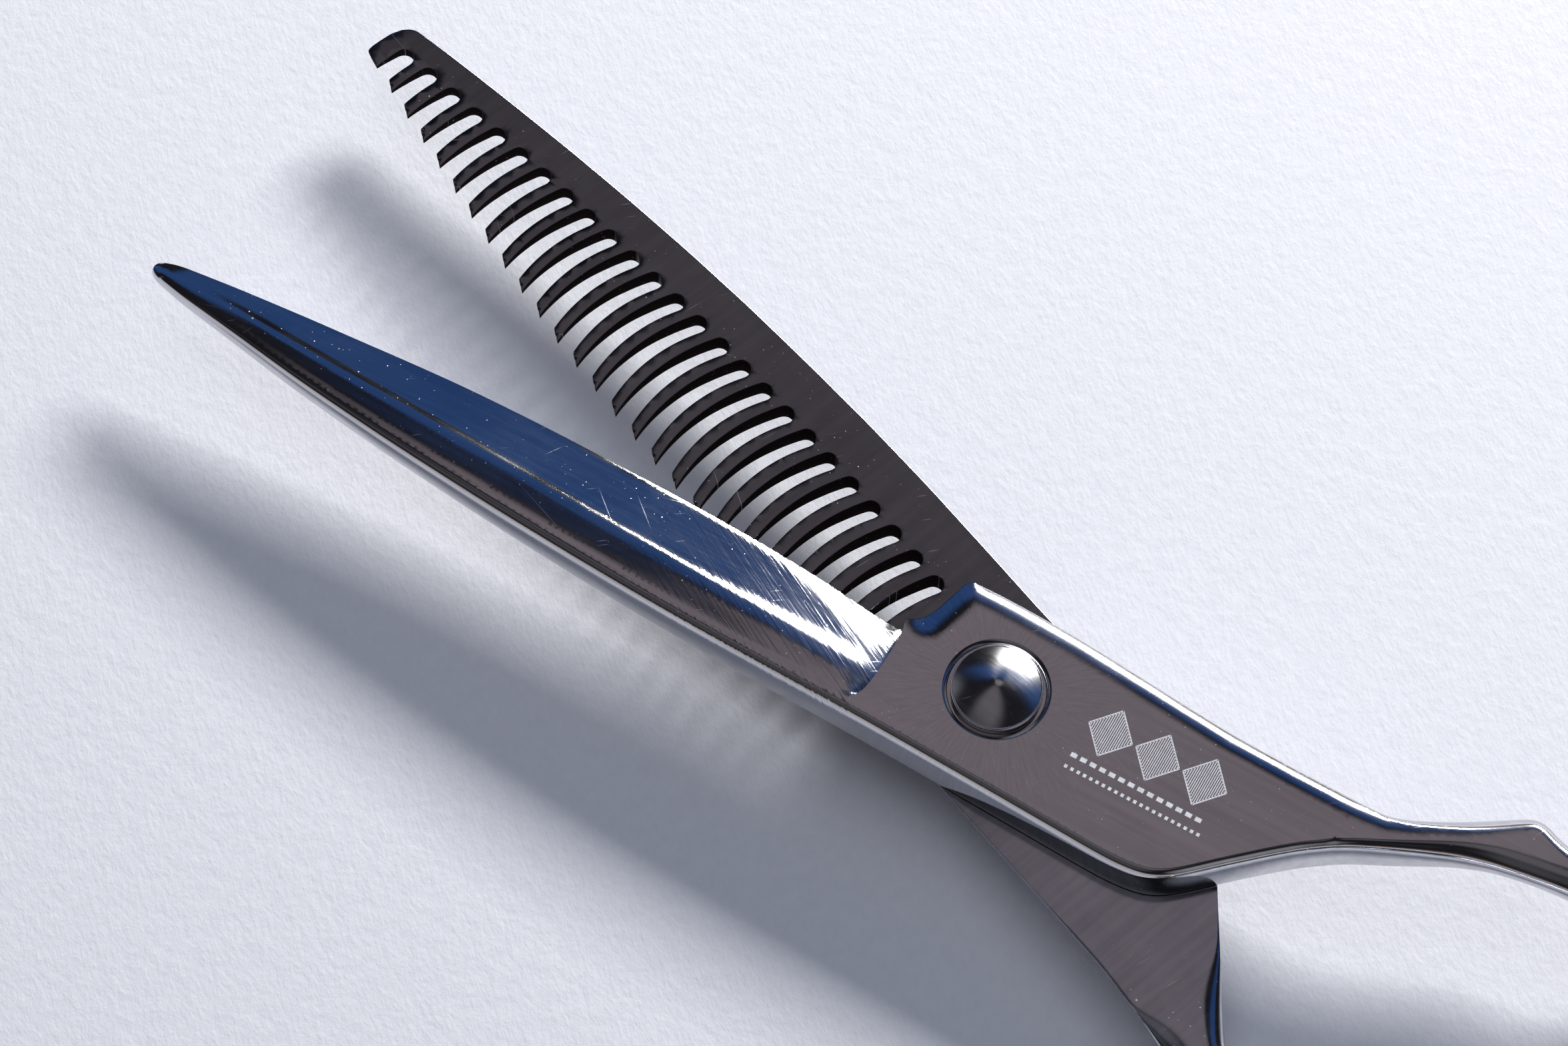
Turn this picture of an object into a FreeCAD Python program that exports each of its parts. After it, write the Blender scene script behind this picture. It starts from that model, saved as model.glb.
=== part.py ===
# Thinning shears, about six inches long, stored with the blades part open.
# Origin: on the pivot axis, at the flat underside of the tension dial.
# +Z runs out of the front face, through the head of the pivot screw.
# +X runs towards the blade tips, along the bisector of the two blades.
# The front half carries the plain blade and the finger ring, the rear half
# the comb blade and the thumb ring. Each half is drawn in its own frame,
# with its blade along +X, and then turned by half the opening angle.
import FreeCAD, Part
import math
import os

V = FreeCAD.Vector
os.makedirs("parts", exist_ok=True)

# ---------------------------------------------------------------- dimensions
OPEN_ANGLE = 19.7        # angle between the blades as stored, degrees

# heights along the pivot axis
Z_DIAL_TOP = 2.10
Z_PLATE0, Z_PLATE1 = 2.15, 2.45
Z_SPRING0, Z_SPRING1 = 2.47, 2.87
Z_GLIDE0, Z_GLIDE1 = 2.90, 3.14
Z_REAR0 = 2.60           # outer face of the rear half
Z_REAR_RECESS = 3.15
Z_RIDE_RECESS = 4.95
Z_REAR1 = 5.30           # inner flat face of the rear half
Z_FRONT0 = 5.42          # inner flat face of the front half
Z_FRONT_RECESS = 7.90
Z_FRONT1 = 8.20          # outer face of the front half
Z_HEAD_EDGE = 8.72
Z_HEAD_APEX = 9.55

# pivot
HEAD_R = 3.30
DOME_R = 3.13
HEAD_RECESS_R = 3.72
KEY_R, KEY_FLAT = 2.40, 1.90     # double-D under the head
SHOULDER_R = 2.00
THREAD_R = 1.50
TAIL_FLAT = 1.10
RUN = 0.03                       # running clearance, radial
BUSH_R = 2.75
BUSH_FLANGE_R = 3.30
RIDE_WASHER_R = 4.55
RECESS_R = 4.65
DIAL_R = 5.40
FLUTES = 12
FLUTE_R = 0.85
CLICKS = 12
CLICK_PITCH_R = 3.60
BALL_R = 0.40
RETAINER_R = 2.20

# comb
SLOTS = 25
SLOT_W = 1.45
SLOT_ARC_R = 12.5

# rings
FINGER_C = (-66.0, -16.2)
THUMB_C = (-58.0, 16.2)
FINGER_R = 10.7
THUMB_R = 11.2
RING_WALL = 4.4
RING_H = 5.4
Z_RING = RING_H / 2
LAND = 3.0                       # length of the straight wall in each hole

# bumper and finger rest
BUMPER_R = 2.1
BUMPER_STEM_R = 1.2
BUMPER_GAP = 0.15                # left between bumper and ring when closed
REST_DIR = 205.0                 # where the finger rest leaves the ring, degrees
REST_R = 1.6
REST_BEND = 16.0
REST_SWEEP = 50.0
STUD_R = 1.25

# ------------------------------------------------------------ outline tables
# Front half at its inner face, blade along +X, pivot at 0,0.
FRONT_OUTLINE = [
    (12.0, 0.2), (8.7, -1.1), (8.1, -1.8), (7.35, -2.5), (6.85, -3.5), (6.6, -4.8), (6.05, -6.85),
    (3.4, -7.0), (0.1, -7.0), (-4.0, -6.85), (-8.0, -6.4), (-12.0, -6.0),
    (-16.2, -5.65), (-21.5, -5.55), (-25.6, -5.5), (-28.3, -5.7), (-29.9, -6.4),
    (-32.5, -7.75), (-34.6, -8.95), (-36.7, -10.15), (-38.0, -10.6), (-39.6, -10.4),
    (-42.0, -9.9), (-42.4, -8.3), (-42.2, -6.55), (-38.9, -6.0), (-36.4, -5.55),
    (-34.1, -4.8), (-30.9, -3.2), (-27.1, -1.35), (-24.6, 0.4), (-22.3, 2.3),
    (-20.1, 4.35), (-18.6, 5.75), (-17.5, 6.8), (-16.4, 7.4), (-15.2, 7.75), (-12.8, 7.92), (-9.7, 7.83),
    (-4.5, 7.55), (0.9, 7.38), (6.4, 7.2), (12.0, 7.03)]
FRONT_INSET = [(0.0, 0.0), (1.20, 0.09), (2.05, 0.32), (2.60, 0.66), (2.78, 0.95)]

# Rear half at its inner face, blade along +X, pivot at 0,0.
REAR_OUTLINE = [
    (12.0, 5.9), (8.0, 6.1), (5.0, 6.7), (1.0, 7.05), (-2.0, 7.1), (-7.0, 7.2), (-13.0, 7.3),
    (-19.4, 7.5), (-23.4, 7.9), (-26.8, 8.2), (-30.0, 8.8), (-33.5, 9.9),
    (-36.5, 10.5), (-39.0, 10.4), (-39.6, 8.7), (-38.6, 6.9), (-35.5, 6.4),
    (-32.5, 5.9), (-29.6, 4.9), (-27.3, 3.0), (-25.15, 1.2), (-23.2, -0.3),
    (-20.5, -2.6), (-18.4, -4.7), (-16.4, -6.3), (-13.5, -7.1), (-9.7, -7.3),
    (-4.5, -7.35), (0.9, -7.35), (6.0, -7.4), (12.0, -7.68)]
REAR_INSET = [(0.0, 0.0), (-0.45, 0.28), (-1.3, 0.62), (-2.2, 1.05), (-2.7, 1.65)]

# Plain blade: x, cutting edge y, spine y, crown y, spine thickness
PLAIN = [
    (3.0, -1.2, 7.25, 4.55, 2.43), (8.0, -1.35, 7.10, 4.45, 2.43), (12.0, -1.65, 7.01, 4.30, 2.42),
    (16.0, -2.15, 6.90, 4.02, 2.40), (20.0, -2.45, 6.77, 3.60, 2.36), (25.0, -2.65, 6.55, 3.05, 2.31),
    (30.0, -2.75, 6.24, 2.70, 2.25), (35.0, -2.80, 5.87, 2.42, 2.18), (40.0, -2.79, 5.43, 2.20, 2.09),
    (45.0, -2.70, 4.92, 2.00, 1.98), (50.0, -2.42, 4.35, 1.75, 1.85), (55.0, -2.05, 3.66, 1.45, 1.70),
    (60.0, -1.66, 2.84, 1.05, 1.50), (64.5, -1.27, 2.00, 0.68, 1.26), (67.5, -0.98, 1.50, 0.45, 1.05),
    (69.5, -0.72, 1.05, 0.30, 0.85), (70.4, -0.35, 0.60, 0.15, 0.60)]

# Comb blade: x, spine y, tooth line y, spine thickness
COMB = [
    (3.0, -7.25, 6.9, 2.30), (9.0, -7.55, 6.8, 2.25), (15.8, -7.80, 6.8, 2.15), (22.4, -7.81, 6.75, 2.05),
    (28.9, -7.67, 6.6, 1.96), (35.4, -7.42, 6.2, 1.87), (41.7, -7.02, 5.7, 1.76),
    (47.9, -6.47, 4.9, 1.65), (54.1, -5.80, 4.0, 1.52), (60.1, -5.02, 2.9, 1.38),
    (66.1, -4.14, 1.9, 1.22), (68.9, -3.66, 1.4, 1.12), (71.0, -3.2, 1.0, 1.0)]
# lower corner of each tooth's end, from the nose back
TIPS = [
    (69.31, 0.68), (66.87, 1.18), (64.38, 1.65), (61.95, 2.05), (59.46, 2.48), (57.00, 2.91),
    (54.47, 3.34), (52.02, 3.74), (49.52, 4.13), (47.00, 4.48), (44.58, 4.78), (42.08, 5.13),
    (39.67, 5.33), (37.20, 5.53), (34.73, 5.72), (32.26, 5.88), (29.78, 6.04), (27.26, 6.17),
    (24.80, 6.24), (22.35, 6.28), (19.90, 6.28), (17.45, 6.25), (15.00, 6.20), (12.55, 6.15),
    (10.10, 6.10), (7.70, 6.10)]
NOSE = [(70.35, 0.31), (70.45, -0.14), (70.42, -1.02), (70.35, -1.93), (70.05, -2.84), (69.71, -3.28), (69.30, -3.56)]
TOOTH_W = 1.0
TOOTH_RAKE = 0.52                # how much the front corner of a tooth's end stands back


# ------------------------------------------------------------------- helpers
def cyl(r, z0, z1, x=0.0, y=0.0):
    return Part.makeCylinder(r, z1 - z0, V(x, y, z0))


def ring(r0, r1, z0, z1):
    return cyl(r1, z0, z1).cut(cyl(r0, z0 - 1, z1 + 1))


def flatted(r, f0, f1, z0, z1):
    """Round bar of radius r with a flat at y = f1, and another at y = f0 where f0 is inside r."""
    x1 = math.sqrt(r * r - f1 * f1)
    e = [Part.LineSegment(V(x1, f1, z0), V(-x1, f1, z0)).toShape()]
    if abs(f0) < r:
        x0 = math.sqrt(r * r - f0 * f0)
        e.append(Part.Arc(V(-x1, f1, z0), V(-r, 0, z0), V(-x0, f0, z0)).toShape())
        e.append(Part.LineSegment(V(-x0, f0, z0), V(x0, f0, z0)).toShape())
        e.append(Part.Arc(V(x0, f0, z0), V(r, 0, z0), V(x1, f1, z0)).toShape())
    else:
        e.append(Part.Arc(V(-x1, f1, z0), V(-r, 0, z0), V(0, -r, z0)).toShape())
        e.append(Part.Arc(V(0, -r, z0), V(r, 0, z0), V(x1, f1, z0)).toShape())
    return Part.Face(Part.Wire(e)).extrude(V(0, 0, z1 - z0))


def inset(points, d):
    """The closed outline moved inwards by d at every corner."""
    n = len(points)
    area = sum(points[i][0] * points[(i + 1) % n][1] - points[(i + 1) % n][0] * points[i][1] for i in range(n))
    s = 1.0 if area > 0 else -1.0
    out = []
    for i in range(n):
        ax, ay = points[i - 1]
        bx, by = points[i]
        cx, cy = points[(i + 1) % n]
        ux, uy = bx - ax, by - ay
        vx, vy = cx - bx, cy - by
        lu, lv = math.hypot(ux, uy), math.hypot(vx, vy)
        n1 = (-uy / lu * s, ux / lu * s)
        n2 = (-vy / lv * s, vx / lv * s)
        mx, my = n1[0] + n2[0], n1[1] + n2[1]
        k = max(0.5, (mx * mx + my * my) / 2.0)
        slim = 1.0 if bx > -28.0 else max(0.55, 1.0 - (-28.0 - bx) / 20.0)   # the shank's sides are slimmer
        out.append((bx + mx / k * d * slim, by + my / k * d * slim))
    return out


def wire(points3):
    return Part.makePolygon([V(*p) for p in points3] + [V(*points3[0])])


def prism(outline, z0, profile):
    """Solid whose outline is drawn in step by step from the inner to the outer face."""
    wires = [wire([(x, y, z0 + dz) for x, y in inset(outline, d)]) for dz, d in profile]
    s = Part.makeLoft(wires, True, True)
    return s


def interp(table, x, col):
    for a, b in zip(table[:-1], table[1:]):
        if a[0] <= x <= b[0]:
            t = (x - a[0]) / (b[0] - a[0])
            return a[col] + t * (b[col] - a[col])
    return table[0][col] if x < table[0][0] else table[-1][col]


def ellipse_at(c, direction, w, h):
    """Elliptical section at c, square to an in-plane direction."""
    d = V(direction[0], direction[1], 0).normalize()
    side = V(-d.y, d.x, 0)
    pts = []
    n = 20
    for k in range(n):
        a = 2 * math.pi * k / n
        # a little squarer than an ellipse
        ca, sa = math.cos(a), math.sin(a)
        p = 0.85
        u = math.copysign(abs(ca) ** p, ca) * w
        v = math.copysign(abs(sa) ** p, sa) * h
        pts.append(V(c[0], c[1], c[2]) + side * u + V(0, 0, v))
    curve = Part.BSplineCurve()
    curve.interpolate(pts, PeriodicFlag=True)
    return Part.Wire([curve.toShape()])


def shank(stations):
    wires = []
    for i, (x, y, z, w, h) in enumerate(stations):
        a = stations[max(0, i - 1)]
        b = stations[min(len(stations) - 1, i + 1)]
        wires.append(ellipse_at((x, y, z), (b[0] - a[0], b[1] - a[1]), w, h))
    return Part.makeLoft(wires, True, False)


def arc_level(m, h, x, z):
    """Arc in the XZ plane from (m, h), where it is level, to (x, z)."""
    s = 1.0 if h > 0 else -1.0
    d, drop = abs(x - m), abs(h - z)
    rho = (d * d + drop * drop) / (2.0 * drop)
    half = math.asin(min(1.0, d / rho)) / 2.0
    if drop > rho:
        half = (math.pi - 2.0 * half) / 2.0
    mid = V(m + math.copysign(rho * math.sin(half), x - m), 0, h - s * rho * (1.0 - math.cos(half)))
    return Part.Arc(V(m, 0, h), mid, V(x, 0, z)).toShape()


def finger_ring(centre, r):
    """Ring of a rounded D section with a short straight wall inside."""
    h, ro = RING_H / 2, r + RING_WALL
    m = r + 2.0
    e = [
        Part.LineSegment(V(r, 0, -LAND / 2), V(r, 0, LAND / 2)).toShape(),
        arc_level(m, h, r, LAND / 2),
        arc_level(m, h, ro, 0.0),
        arc_level(m, -h, ro, 0.0),
        arc_level(m, -h, r, -LAND / 2)]
    e = Part.__sortEdges__(e)
    face = Part.Face(Part.Wire(e))
    s = face.revolve(V(0, 0, 0), V(0, 0, 1), 360)
    s.translate(V(centre[0], centre[1], Z_RING))
    return s


def placed(shape, degrees):
    s = shape.copy()
    s.rotate(V(0, 0, 0), V(0, 0, 1), degrees)
    return s


def fused(*shapes):
    s = shapes[0]
    for o in shapes[1:]:
        s = s.fuse(o)
    return s.removeSplitter()


def one_solid(shape, name):
    solids = shape.Solids
    solids.sort(key=lambda q: -q.Volume)
    if len(solids) > 1:
        print("note:", name, "had", len(solids), "solids", [round(q.Volume, 3) for q in solids])
    return solids[0]


NODES = {}


def put(name, shape):
    if not shape.isValid():
        print("INVALID", name)
    NODES[name] = shape
    b = shape.BoundBox
    print("%-24s vol %9.3f  box %.2f %.2f %.2f .. %.2f %.2f %.2f" % (
        name, shape.Volume, b.XMin, b.YMin, b.ZMin, b.XMax, b.YMax, b.ZMax))


# ------------------------------------------------- front half: plain blade
def plain_section(x, yc, ys, yr, t):
    """Flat inside, convex from the edge to a crown, a shallow step, a land, a rounded side."""
    side = 0.42 * t + 0.10
    w = yr - yc
    z = Z_FRONT0
    land_out = ys - side
    land_in = land_out - 0.12 * t - 0.05
    pts = [
        (yc, 0.0), (yc + 0.02, 0.06),
        (yc + 0.30 * w, 0.43 * t), (yc + 0.62 * w, 0.77 * t), (yr, 0.955 * t),
        (land_in - 0.15, 0.88 * t), (land_in, t), (land_out, t),
        (ys - 0.42 * side, 0.80 * t), (ys - 0.08 * side, 0.42 * t), (ys, 0.0)]
    return wire([(x, y, z + dz) for y, dz in pts])


blade = Part.makeLoft([plain_section(*r) for r in PLAIN], True, True)
body = prism(FRONT_OUTLINE, Z_FRONT0, FRONT_INSET)
body = body.cut(Part.makeBox(20, 30, 10, V(8.1, -15, Z_FRONT0 - 1)))
arm = shank([
    (-37.0, -8.2, 6.80, 1.55, 1.15), (-40.5, -8.35, 6.70, 1.80, 1.40), (-44.0, -8.35, 6.25, 1.85, 1.60),
    (-47.5, -8.45, 5.35, 1.95, 1.80), (-51.0, -9.0, 4.20, 2.30, 2.05), (-53.7, -10.0, 3.35, 3.10, 2.25),
    (-55.4, -10.9, 2.90, 4.30, 2.35)])
fring = finger_ring(FINGER_C, FINGER_R)
front = fused(body, blade, arm, fring)
front = front.cut(cyl(FINGER_R, -1, 9, *FINGER_C))

# seat for the screw head and the keyed hole under it
front = front.cut(cyl(HEAD_RECESS_R, Z_FRONT_RECESS, Z_FRONT1 + 1))
key_hole = flatted(KEY_R + 0.03, -KEY_FLAT - 0.03, KEY_FLAT + 0.03, Z_FRONT0 - 1, Z_FRONT1 + 1)
front = front.cut(key_hole)

# boss and tapped hole for the finger rest
rd = math.radians(REST_DIR)
rest_u = V(math.cos(rd), math.sin(rd), 0)
ring_out = FINGER_R + RING_WALL
rc = V(FINGER_C[0], FINGER_C[1], Z_RING)
boss = Part.makeCylinder(2.35, 2.6, rc + rest_u * (ring_out - 2.2), rest_u)
front = front.fuse(boss).removeSplitter()
front = front.cut(Part.makeCylinder(STUD_R, 6.0, rc + rest_u * (ring_out - 2.8), rest_u))
front = one_solid(front, "plain_blade_half")
put("plain_blade_half", placed(front, OPEN_ANGLE / 2))

# -------------------------------------------------- rear half: comb blade
def comb_section(x, ys, yt, t):
    """Flat inside, full at the spine, drawn down to thin tooth ends."""
    w = yt - ys
    z = Z_REAR1
    pts = [
        (ys, 0.0), (ys + 0.28, -0.30 * t), (ys + 0.62, -0.68 * t), (ys + 1.35, -t),
        (ys + 0.42 * w, -0.92 * t), (ys + 0.72 * w, -0.66 * t), (yt, -0.34 * t), (yt, 0.0)]
    return wire([(x, y, z + dz) for y, dz in pts])


comb = Part.makeLoft([comb_section(*r) for r in COMB], True, True)
# outline of the comb blade: spine, nose, then each tooth's slanted end
edge = [(3.0, -9.0), (3.0, -7.10)]
for x, y, yt, t in COMB[1:-1]:
    edge.append((x, y))
edge += list(reversed(NOSE))
for i, (x, y) in enumerate(TIPS):
    w = TOOTH_W if i else 1.30
    if i:
        edge.append((x + w + 0.25, y - TOOTH_RAKE))
    edge.append((x, y))
edge += [(6.2, 6.55), (3.0, 6.85)]
edge = edge[1:]
outline = Part.Face(wire([(x, y, 0.0) for x, y in edge])).extrude(V(0, 0, 20))
comb = comb.common(outline)


def slot(i):
    """One curved slot: an arc-shaped cut with a round inner end, open at the tooth line."""
    xe, ye = SLOT_ENDS[i]
    xt, yt = TIPS[i + 1]
    r = SLOT_W / 2
    y0 = (yt + ye) / 2 + 0.25            # height of the arc's apex
    R = SLOT_ARC_R + r                   # radius of the slot's centreline
    ycen = ye + r                        # centre of the round end
    xc = xe - math.sqrt(R * R - (ycen - y0) ** 2)
    ytop = yt + 2.2
    def pt(y, rad):
        return V(xc + math.sqrt(rad * rad - (y - y0) ** 2), y, 0)
    a0 = math.asin((ycen - y0) / R)
    def at(rad, a):
        return V(xc + rad * math.cos(a), y0 + rad * math.sin(a), 0)
    a1 = math.asin((ytop - y0) / R)
    am = (a0 + a1) / 2
    Ri, Ro = R - r, R + r
    end_c = at(R, a0)
    back = V(math.sin(a0), -math.cos(a0), 0)       # along the slot, away from the mouth
    e = [
        Part.Arc(at(Ri, a0), at(Ri, am), at(Ri, a1)).toShape(),
        Part.LineSegment(at(Ri, a1), at(Ro, a1)).toShape(),
        Part.Arc(at(Ro, a1), at(Ro, am), at(Ro, a0)).toShape(),
        Part.Arc(at(Ro, a0), end_c + back * r, at(Ri, a0)).toShape()]
    return Part.Face(Part.Wire(e)).extrude(V(0, 0, 20))


# centre line x and lowest y of each slot's round end, from the nose back
SLOT_ENDS = [
    (68.10, -2.10), (65.75, -2.42), (63.30, -2.66), (60.92, -2.88), (58.48, -3.08),
    (56.10, -3.29), (53.70, -3.46), (51.28, -3.63), (48.90, -3.77), (46.52, -3.92),
    (44.10, -4.05), (41.68, -4.15), (39.27, -4.23), (36.85, -4.30), (34.40, -4.33),
    (31.98, -4.36), (29.54, -4.36), (27.10, -4.35), (24.66, -4.32), (22.22, -4.26),
    (19.76, -4.18), (17.30, -4.09), (14.85, -3.97), (12.35, -3.83), (9.85, -3.65)]

slots = [slot(i) for i in range(SLOTS)]
comb = comb.cut(slots)
rear_body = prism(REAR_OUTLINE, Z_REAR1, REAR_INSET)
rear_body = rear_body.cut(Part.makeBox(20, 30, 10, V(6.9, -15, Z_REAR0 - 1)))
thumb_arm = shank([
    (-34.0, 8.2, 3.95, 1.45, 1.15), (-37.5, 8.7, 3.92, 1.80, 1.30), (-40.5, 8.75, 3.75, 1.90, 1.50),
    (-43.0, 9.0, 3.45, 2.20, 1.80), (-45.4, 9.8, 3.10, 3.10, 2.15), (-47.2, 10.7, 2.85, 4.30, 2.35)])
tring = finger_ring(THUMB_C, THUMB_R)
rear = fused(rear_body, comb, thumb_arm, tring)
rear = rear.cut(cyl(THUMB_R, -1, 9, *THUMB_C))
rear = rear.cut(cyl(RECESS_R, Z_REAR0 - 1, Z_REAR_RECESS))
rear = rear.cut(cyl(BUSH_FLANGE_R + 0.05, Z_REAR0 - 1, 3.43))
rear = rear.cut(cyl(BUSH_R + 0.01, Z_REAR0 - 1, Z_REAR1 + 1))
rear = rear.cut(cyl(RECESS_R, Z_RIDE_RECESS, Z_REAR1 + 1))

# pocket for the bumper, facing the finger ring when the shears are shut
bd = V(FINGER_C[0] - THUMB_C[0], FINGER_C[1] - THUMB_C[1], 0)
ring_gap = bd.Length - (FINGER_R + RING_WALL) - (THUMB_R + RING_WALL)
bu = V(bd).normalize()
tc = V(THUMB_C[0], THUMB_C[1], Z_RING)
thumb_out = THUMB_R + RING_WALL
rear = rear.cut(Part.makeCylinder(BUMPER_R + 0.03, 4.0, tc + bu * (thumb_out - 0.9), bu))
rear = rear.cut(Part.makeCylinder(BUMPER_STEM_R + 0.02, 4.0, tc + bu * (thumb_out - 3.0), bu))
rear = one_solid(rear, "comb_blade_half")
put("comb_blade_half", placed(rear, -OPEN_ANGLE / 2))

# ------------------------------------------------------------------- bumper
b0 = thumb_out - 0.88
b1 = thumb_out + ring_gap - BUMPER_GAP
pad = Part.makeCylinder(BUMPER_R, b1 - b0, tc + bu * b0, bu)
rim = [e for e in pad.Edges if isinstance(e.Curve, Part.Circle)]
rim.sort(key=lambda e: -(e.CenterOfMass - tc).dot(bu))
pad = pad.makeFillet(0.8, [rim[0]])
stem = Part.makeCylinder(BUMPER_STEM_R, 2.4, tc + bu * (b0 - 2.05), bu)
put("bumper", placed(one_solid(pad.fuse(stem).removeSplitter(), "bumper"), -OPEN_ANGLE / 2))

# -------------------------------------------------------------- pivot screw
def revolve(points):
    f = Part.Face(wire([(r, 0.0, z) for r, z in points]))
    return f.revolve(V(0, 0, 0), V(0, 0, 1), 360)


Z_KEY0 = Z_FRONT0 - 0.01
Z_UNDER = Z_FRONT_RECESS + 0.02
Z_STEP = Z_PLATE1 + 0.05


def seg(a, b):
    return Part.LineSegment(V(a[0], 0, a[1]), V(b[0], 0, b[1])).toShape()


# head and key: turned, then flatted
head_edges = [
    seg((0, Z_UNDER), (HEAD_R, Z_UNDER)), seg((HEAD_R, Z_UNDER), (HEAD_R, Z_HEAD_EDGE - 0.1)),
    seg((HEAD_R, Z_HEAD_EDGE - 0.1), (DOME_R, Z_HEAD_EDGE)),
    Part.Arc(V(DOME_R, 0, Z_HEAD_EDGE), V(1.75, 0, 9.24), V(0.30, 0, Z_HEAD_APEX - 0.01)).toShape(),
    seg((0.30, Z_HEAD_APEX - 0.01), (0, Z_HEAD_APEX)), seg((0, Z_HEAD_APEX), (0, Z_UNDER))]
head = Part.Face(Part.Wire(head_edges)).revolve(V(0, 0, 0), V(0, 0, 1), 360)
key = flatted(KEY_R, -KEY_FLAT, KEY_FLAT, Z_KEY0, Z_UNDER)
shoulder = cyl(SHOULDER_R, Z_STEP, Z_KEY0)
tail = flatted(THREAD_R, -9, TAIL_FLAT, 0.82, Z_STEP)
screw = head.fuse(key).fuse(shoulder).fuse(tail).cut(cyl(0.82, 0.0, 2.32))
put("pivot_screw", placed(one_solid(screw, "pivot_screw"), OPEN_ANGLE / 2))

# --------------------------------------------------- washers, bush, spring
put("ride_washer", ring(SHOULDER_R + 0.08, RIDE_WASHER_R, Z_RIDE_RECESS + 0.01, Z_REAR1 + 0.07))
sleeve = ring(SHOULDER_R + RUN, BUSH_R, 3.17, 4.93)
flange = ring(SHOULDER_R + RUN, BUSH_FLANGE_R, 3.17, 3.42)
put("pivot_bush", sleeve.fuse(flange).removeSplitter())
put("glide_washer", ring(SHOULDER_R + 0.08, 4.55, Z_GLIDE0, Z_GLIDE1))
put("disc_spring", revolve([(2.10, Z_SPRING0 + 0.18), (2.10, Z_SPRING1), (4.30, Z_SPRING1 - 0.18), (4.30, Z_SPRING0)]))

plate = cyl(4.40, Z_PLATE0, Z_PLATE1)
bore = flatted(THREAD_R + 0.04, -9, TAIL_FLAT + 0.04, 0, 5)
plate = plate.cut(bore)
plate = plate.cut([cyl(0.36, 0, 5, CLICK_PITCH_R * math.cos(2 * math.pi * k / CLICKS),
                       CLICK_PITCH_R * math.sin(2 * math.pi * k / CLICKS)) for k in range(CLICKS)])
put("click_plate", placed(plate, OPEN_ANGLE / 2))

# --------------------------------------------------------------------- dial
dial = cyl(DIAL_R, 0, Z_DIAL_TOP)
circles = [e for e in dial.Edges if isinstance(e.Curve, Part.Circle)]
dial = dial.makeChamfer(0.30, circles)
dial = dial.cut([cyl(FLUTE_R, -1, 4, (DIAL_R + 0.38) * math.cos(2 * math.pi * (k + 0.5) / FLUTES),
                     (DIAL_R + 0.38) * math.sin(2 * math.pi * (k + 0.5) / FLUTES)) for k in range(FLUTES)])
dial = dial.cut(cyl(THREAD_R + RUN, -1, 4)).cut(cyl(RETAINER_R + 0.10, -1, 0.86))
ball_at = [(CLICK_PITCH_R, 0.0), (-CLICK_PITCH_R, 0.0)]
ball_z = Z_PLATE0 - 0.005 - BALL_R
dial = dial.cut([cyl(BALL_R + 0.01, ball_z - BALL_R - 0.01, 4, x, y) for x, y in ball_at])
put("tension_dial", placed(one_solid(dial, "tension_dial"), OPEN_ANGLE / 2))
balls = [Part.makeSphere(BALL_R, V(x, y, ball_z)) for x, y in ball_at]
put("dial_balls", placed(Part.makeCompound(balls), OPEN_ANGLE / 2))

cap = cyl(RETAINER_R, 0, 0.80)
pin = cyl(0.80, 0.80, 2.25)
cap = cap.fuse(pin).removeSplitter()
cap = cap.cut([cyl(0.32, -1, 0.45, 1.25, 0), cyl(0.32, -1, 0.45, -1.25, 0)])
put("dial_retaining_screw", placed(one_solid(cap, "dial_retaining_screw"), OPEN_ANGLE / 2))

# -------------------------------------------------------------- finger rest
seat = ring_out + 0.40
washer = Part.makeCylinder(2.2, 0.5, rc + rest_u * (seat + 0.01), rest_u).cut(
    Part.makeCylinder(STUD_R + 0.03, 3, rc + rest_u * (seat - 1), rest_u))
put("finger_rest_washer", placed(washer, OPEN_ANGLE / 2))

base = rc + rest_u * (seat + 0.52)
collar = Part.makeCylinder(2.2, 1.2, base, rest_u)
collar_rim = [e for e in collar.Edges if isinstance(e.Curve, Part.Circle)]
collar_rim.sort(key=lambda e: -(e.CenterOfMass - rc).dot(rest_u))
collar = collar.makeFillet(0.4, [collar_rim[0]])
stud = Part.makeCylinder(STUD_R - 0.02, 4.0, base - rest_u * 3.2, rest_u)
start = base + rest_u * 1.0
turn = V(-rest_u.y, rest_u.x, 0)              # towards the outside of the grip
centre = start + turn * REST_BEND
prof = Part.Face(Part.Wire([Part.Circle(start, rest_u, REST_R).toShape()]))
bend = prof.revolve(centre, V(0, 0, 1), REST_SWEEP)
a = math.radians(REST_SWEEP)
rel = start - centre
end = centre + V(rel.x * math.cos(a) - rel.y * math.sin(a), rel.x * math.sin(a) + rel.y * math.cos(a), 0)
tip = Part.makeSphere(REST_R + 0.45, end)
rest = fused(collar, stud, bend, tip)
put("finger_rest", placed(one_solid(rest, "finger_rest"), OPEN_ANGLE / 2))

# -------------------------------------------------------------------- write
for name, shape in NODES.items():
    shape.exportStep("parts/%s.step" % name)
print(len(NODES), "nodes")
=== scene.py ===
"""Thinning shears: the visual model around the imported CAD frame.

Every outline below is in millimetres, in the frame of its own half: pivot at 0,0
and blade along +X. A half is turned by half the opening angle to reach the row frame.
"""

import math
import bpy
import bmesh
import numpy as np
from mathutils import Matrix, Vector
from mathutils.geometry import delaunay_2d_cdt


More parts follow.
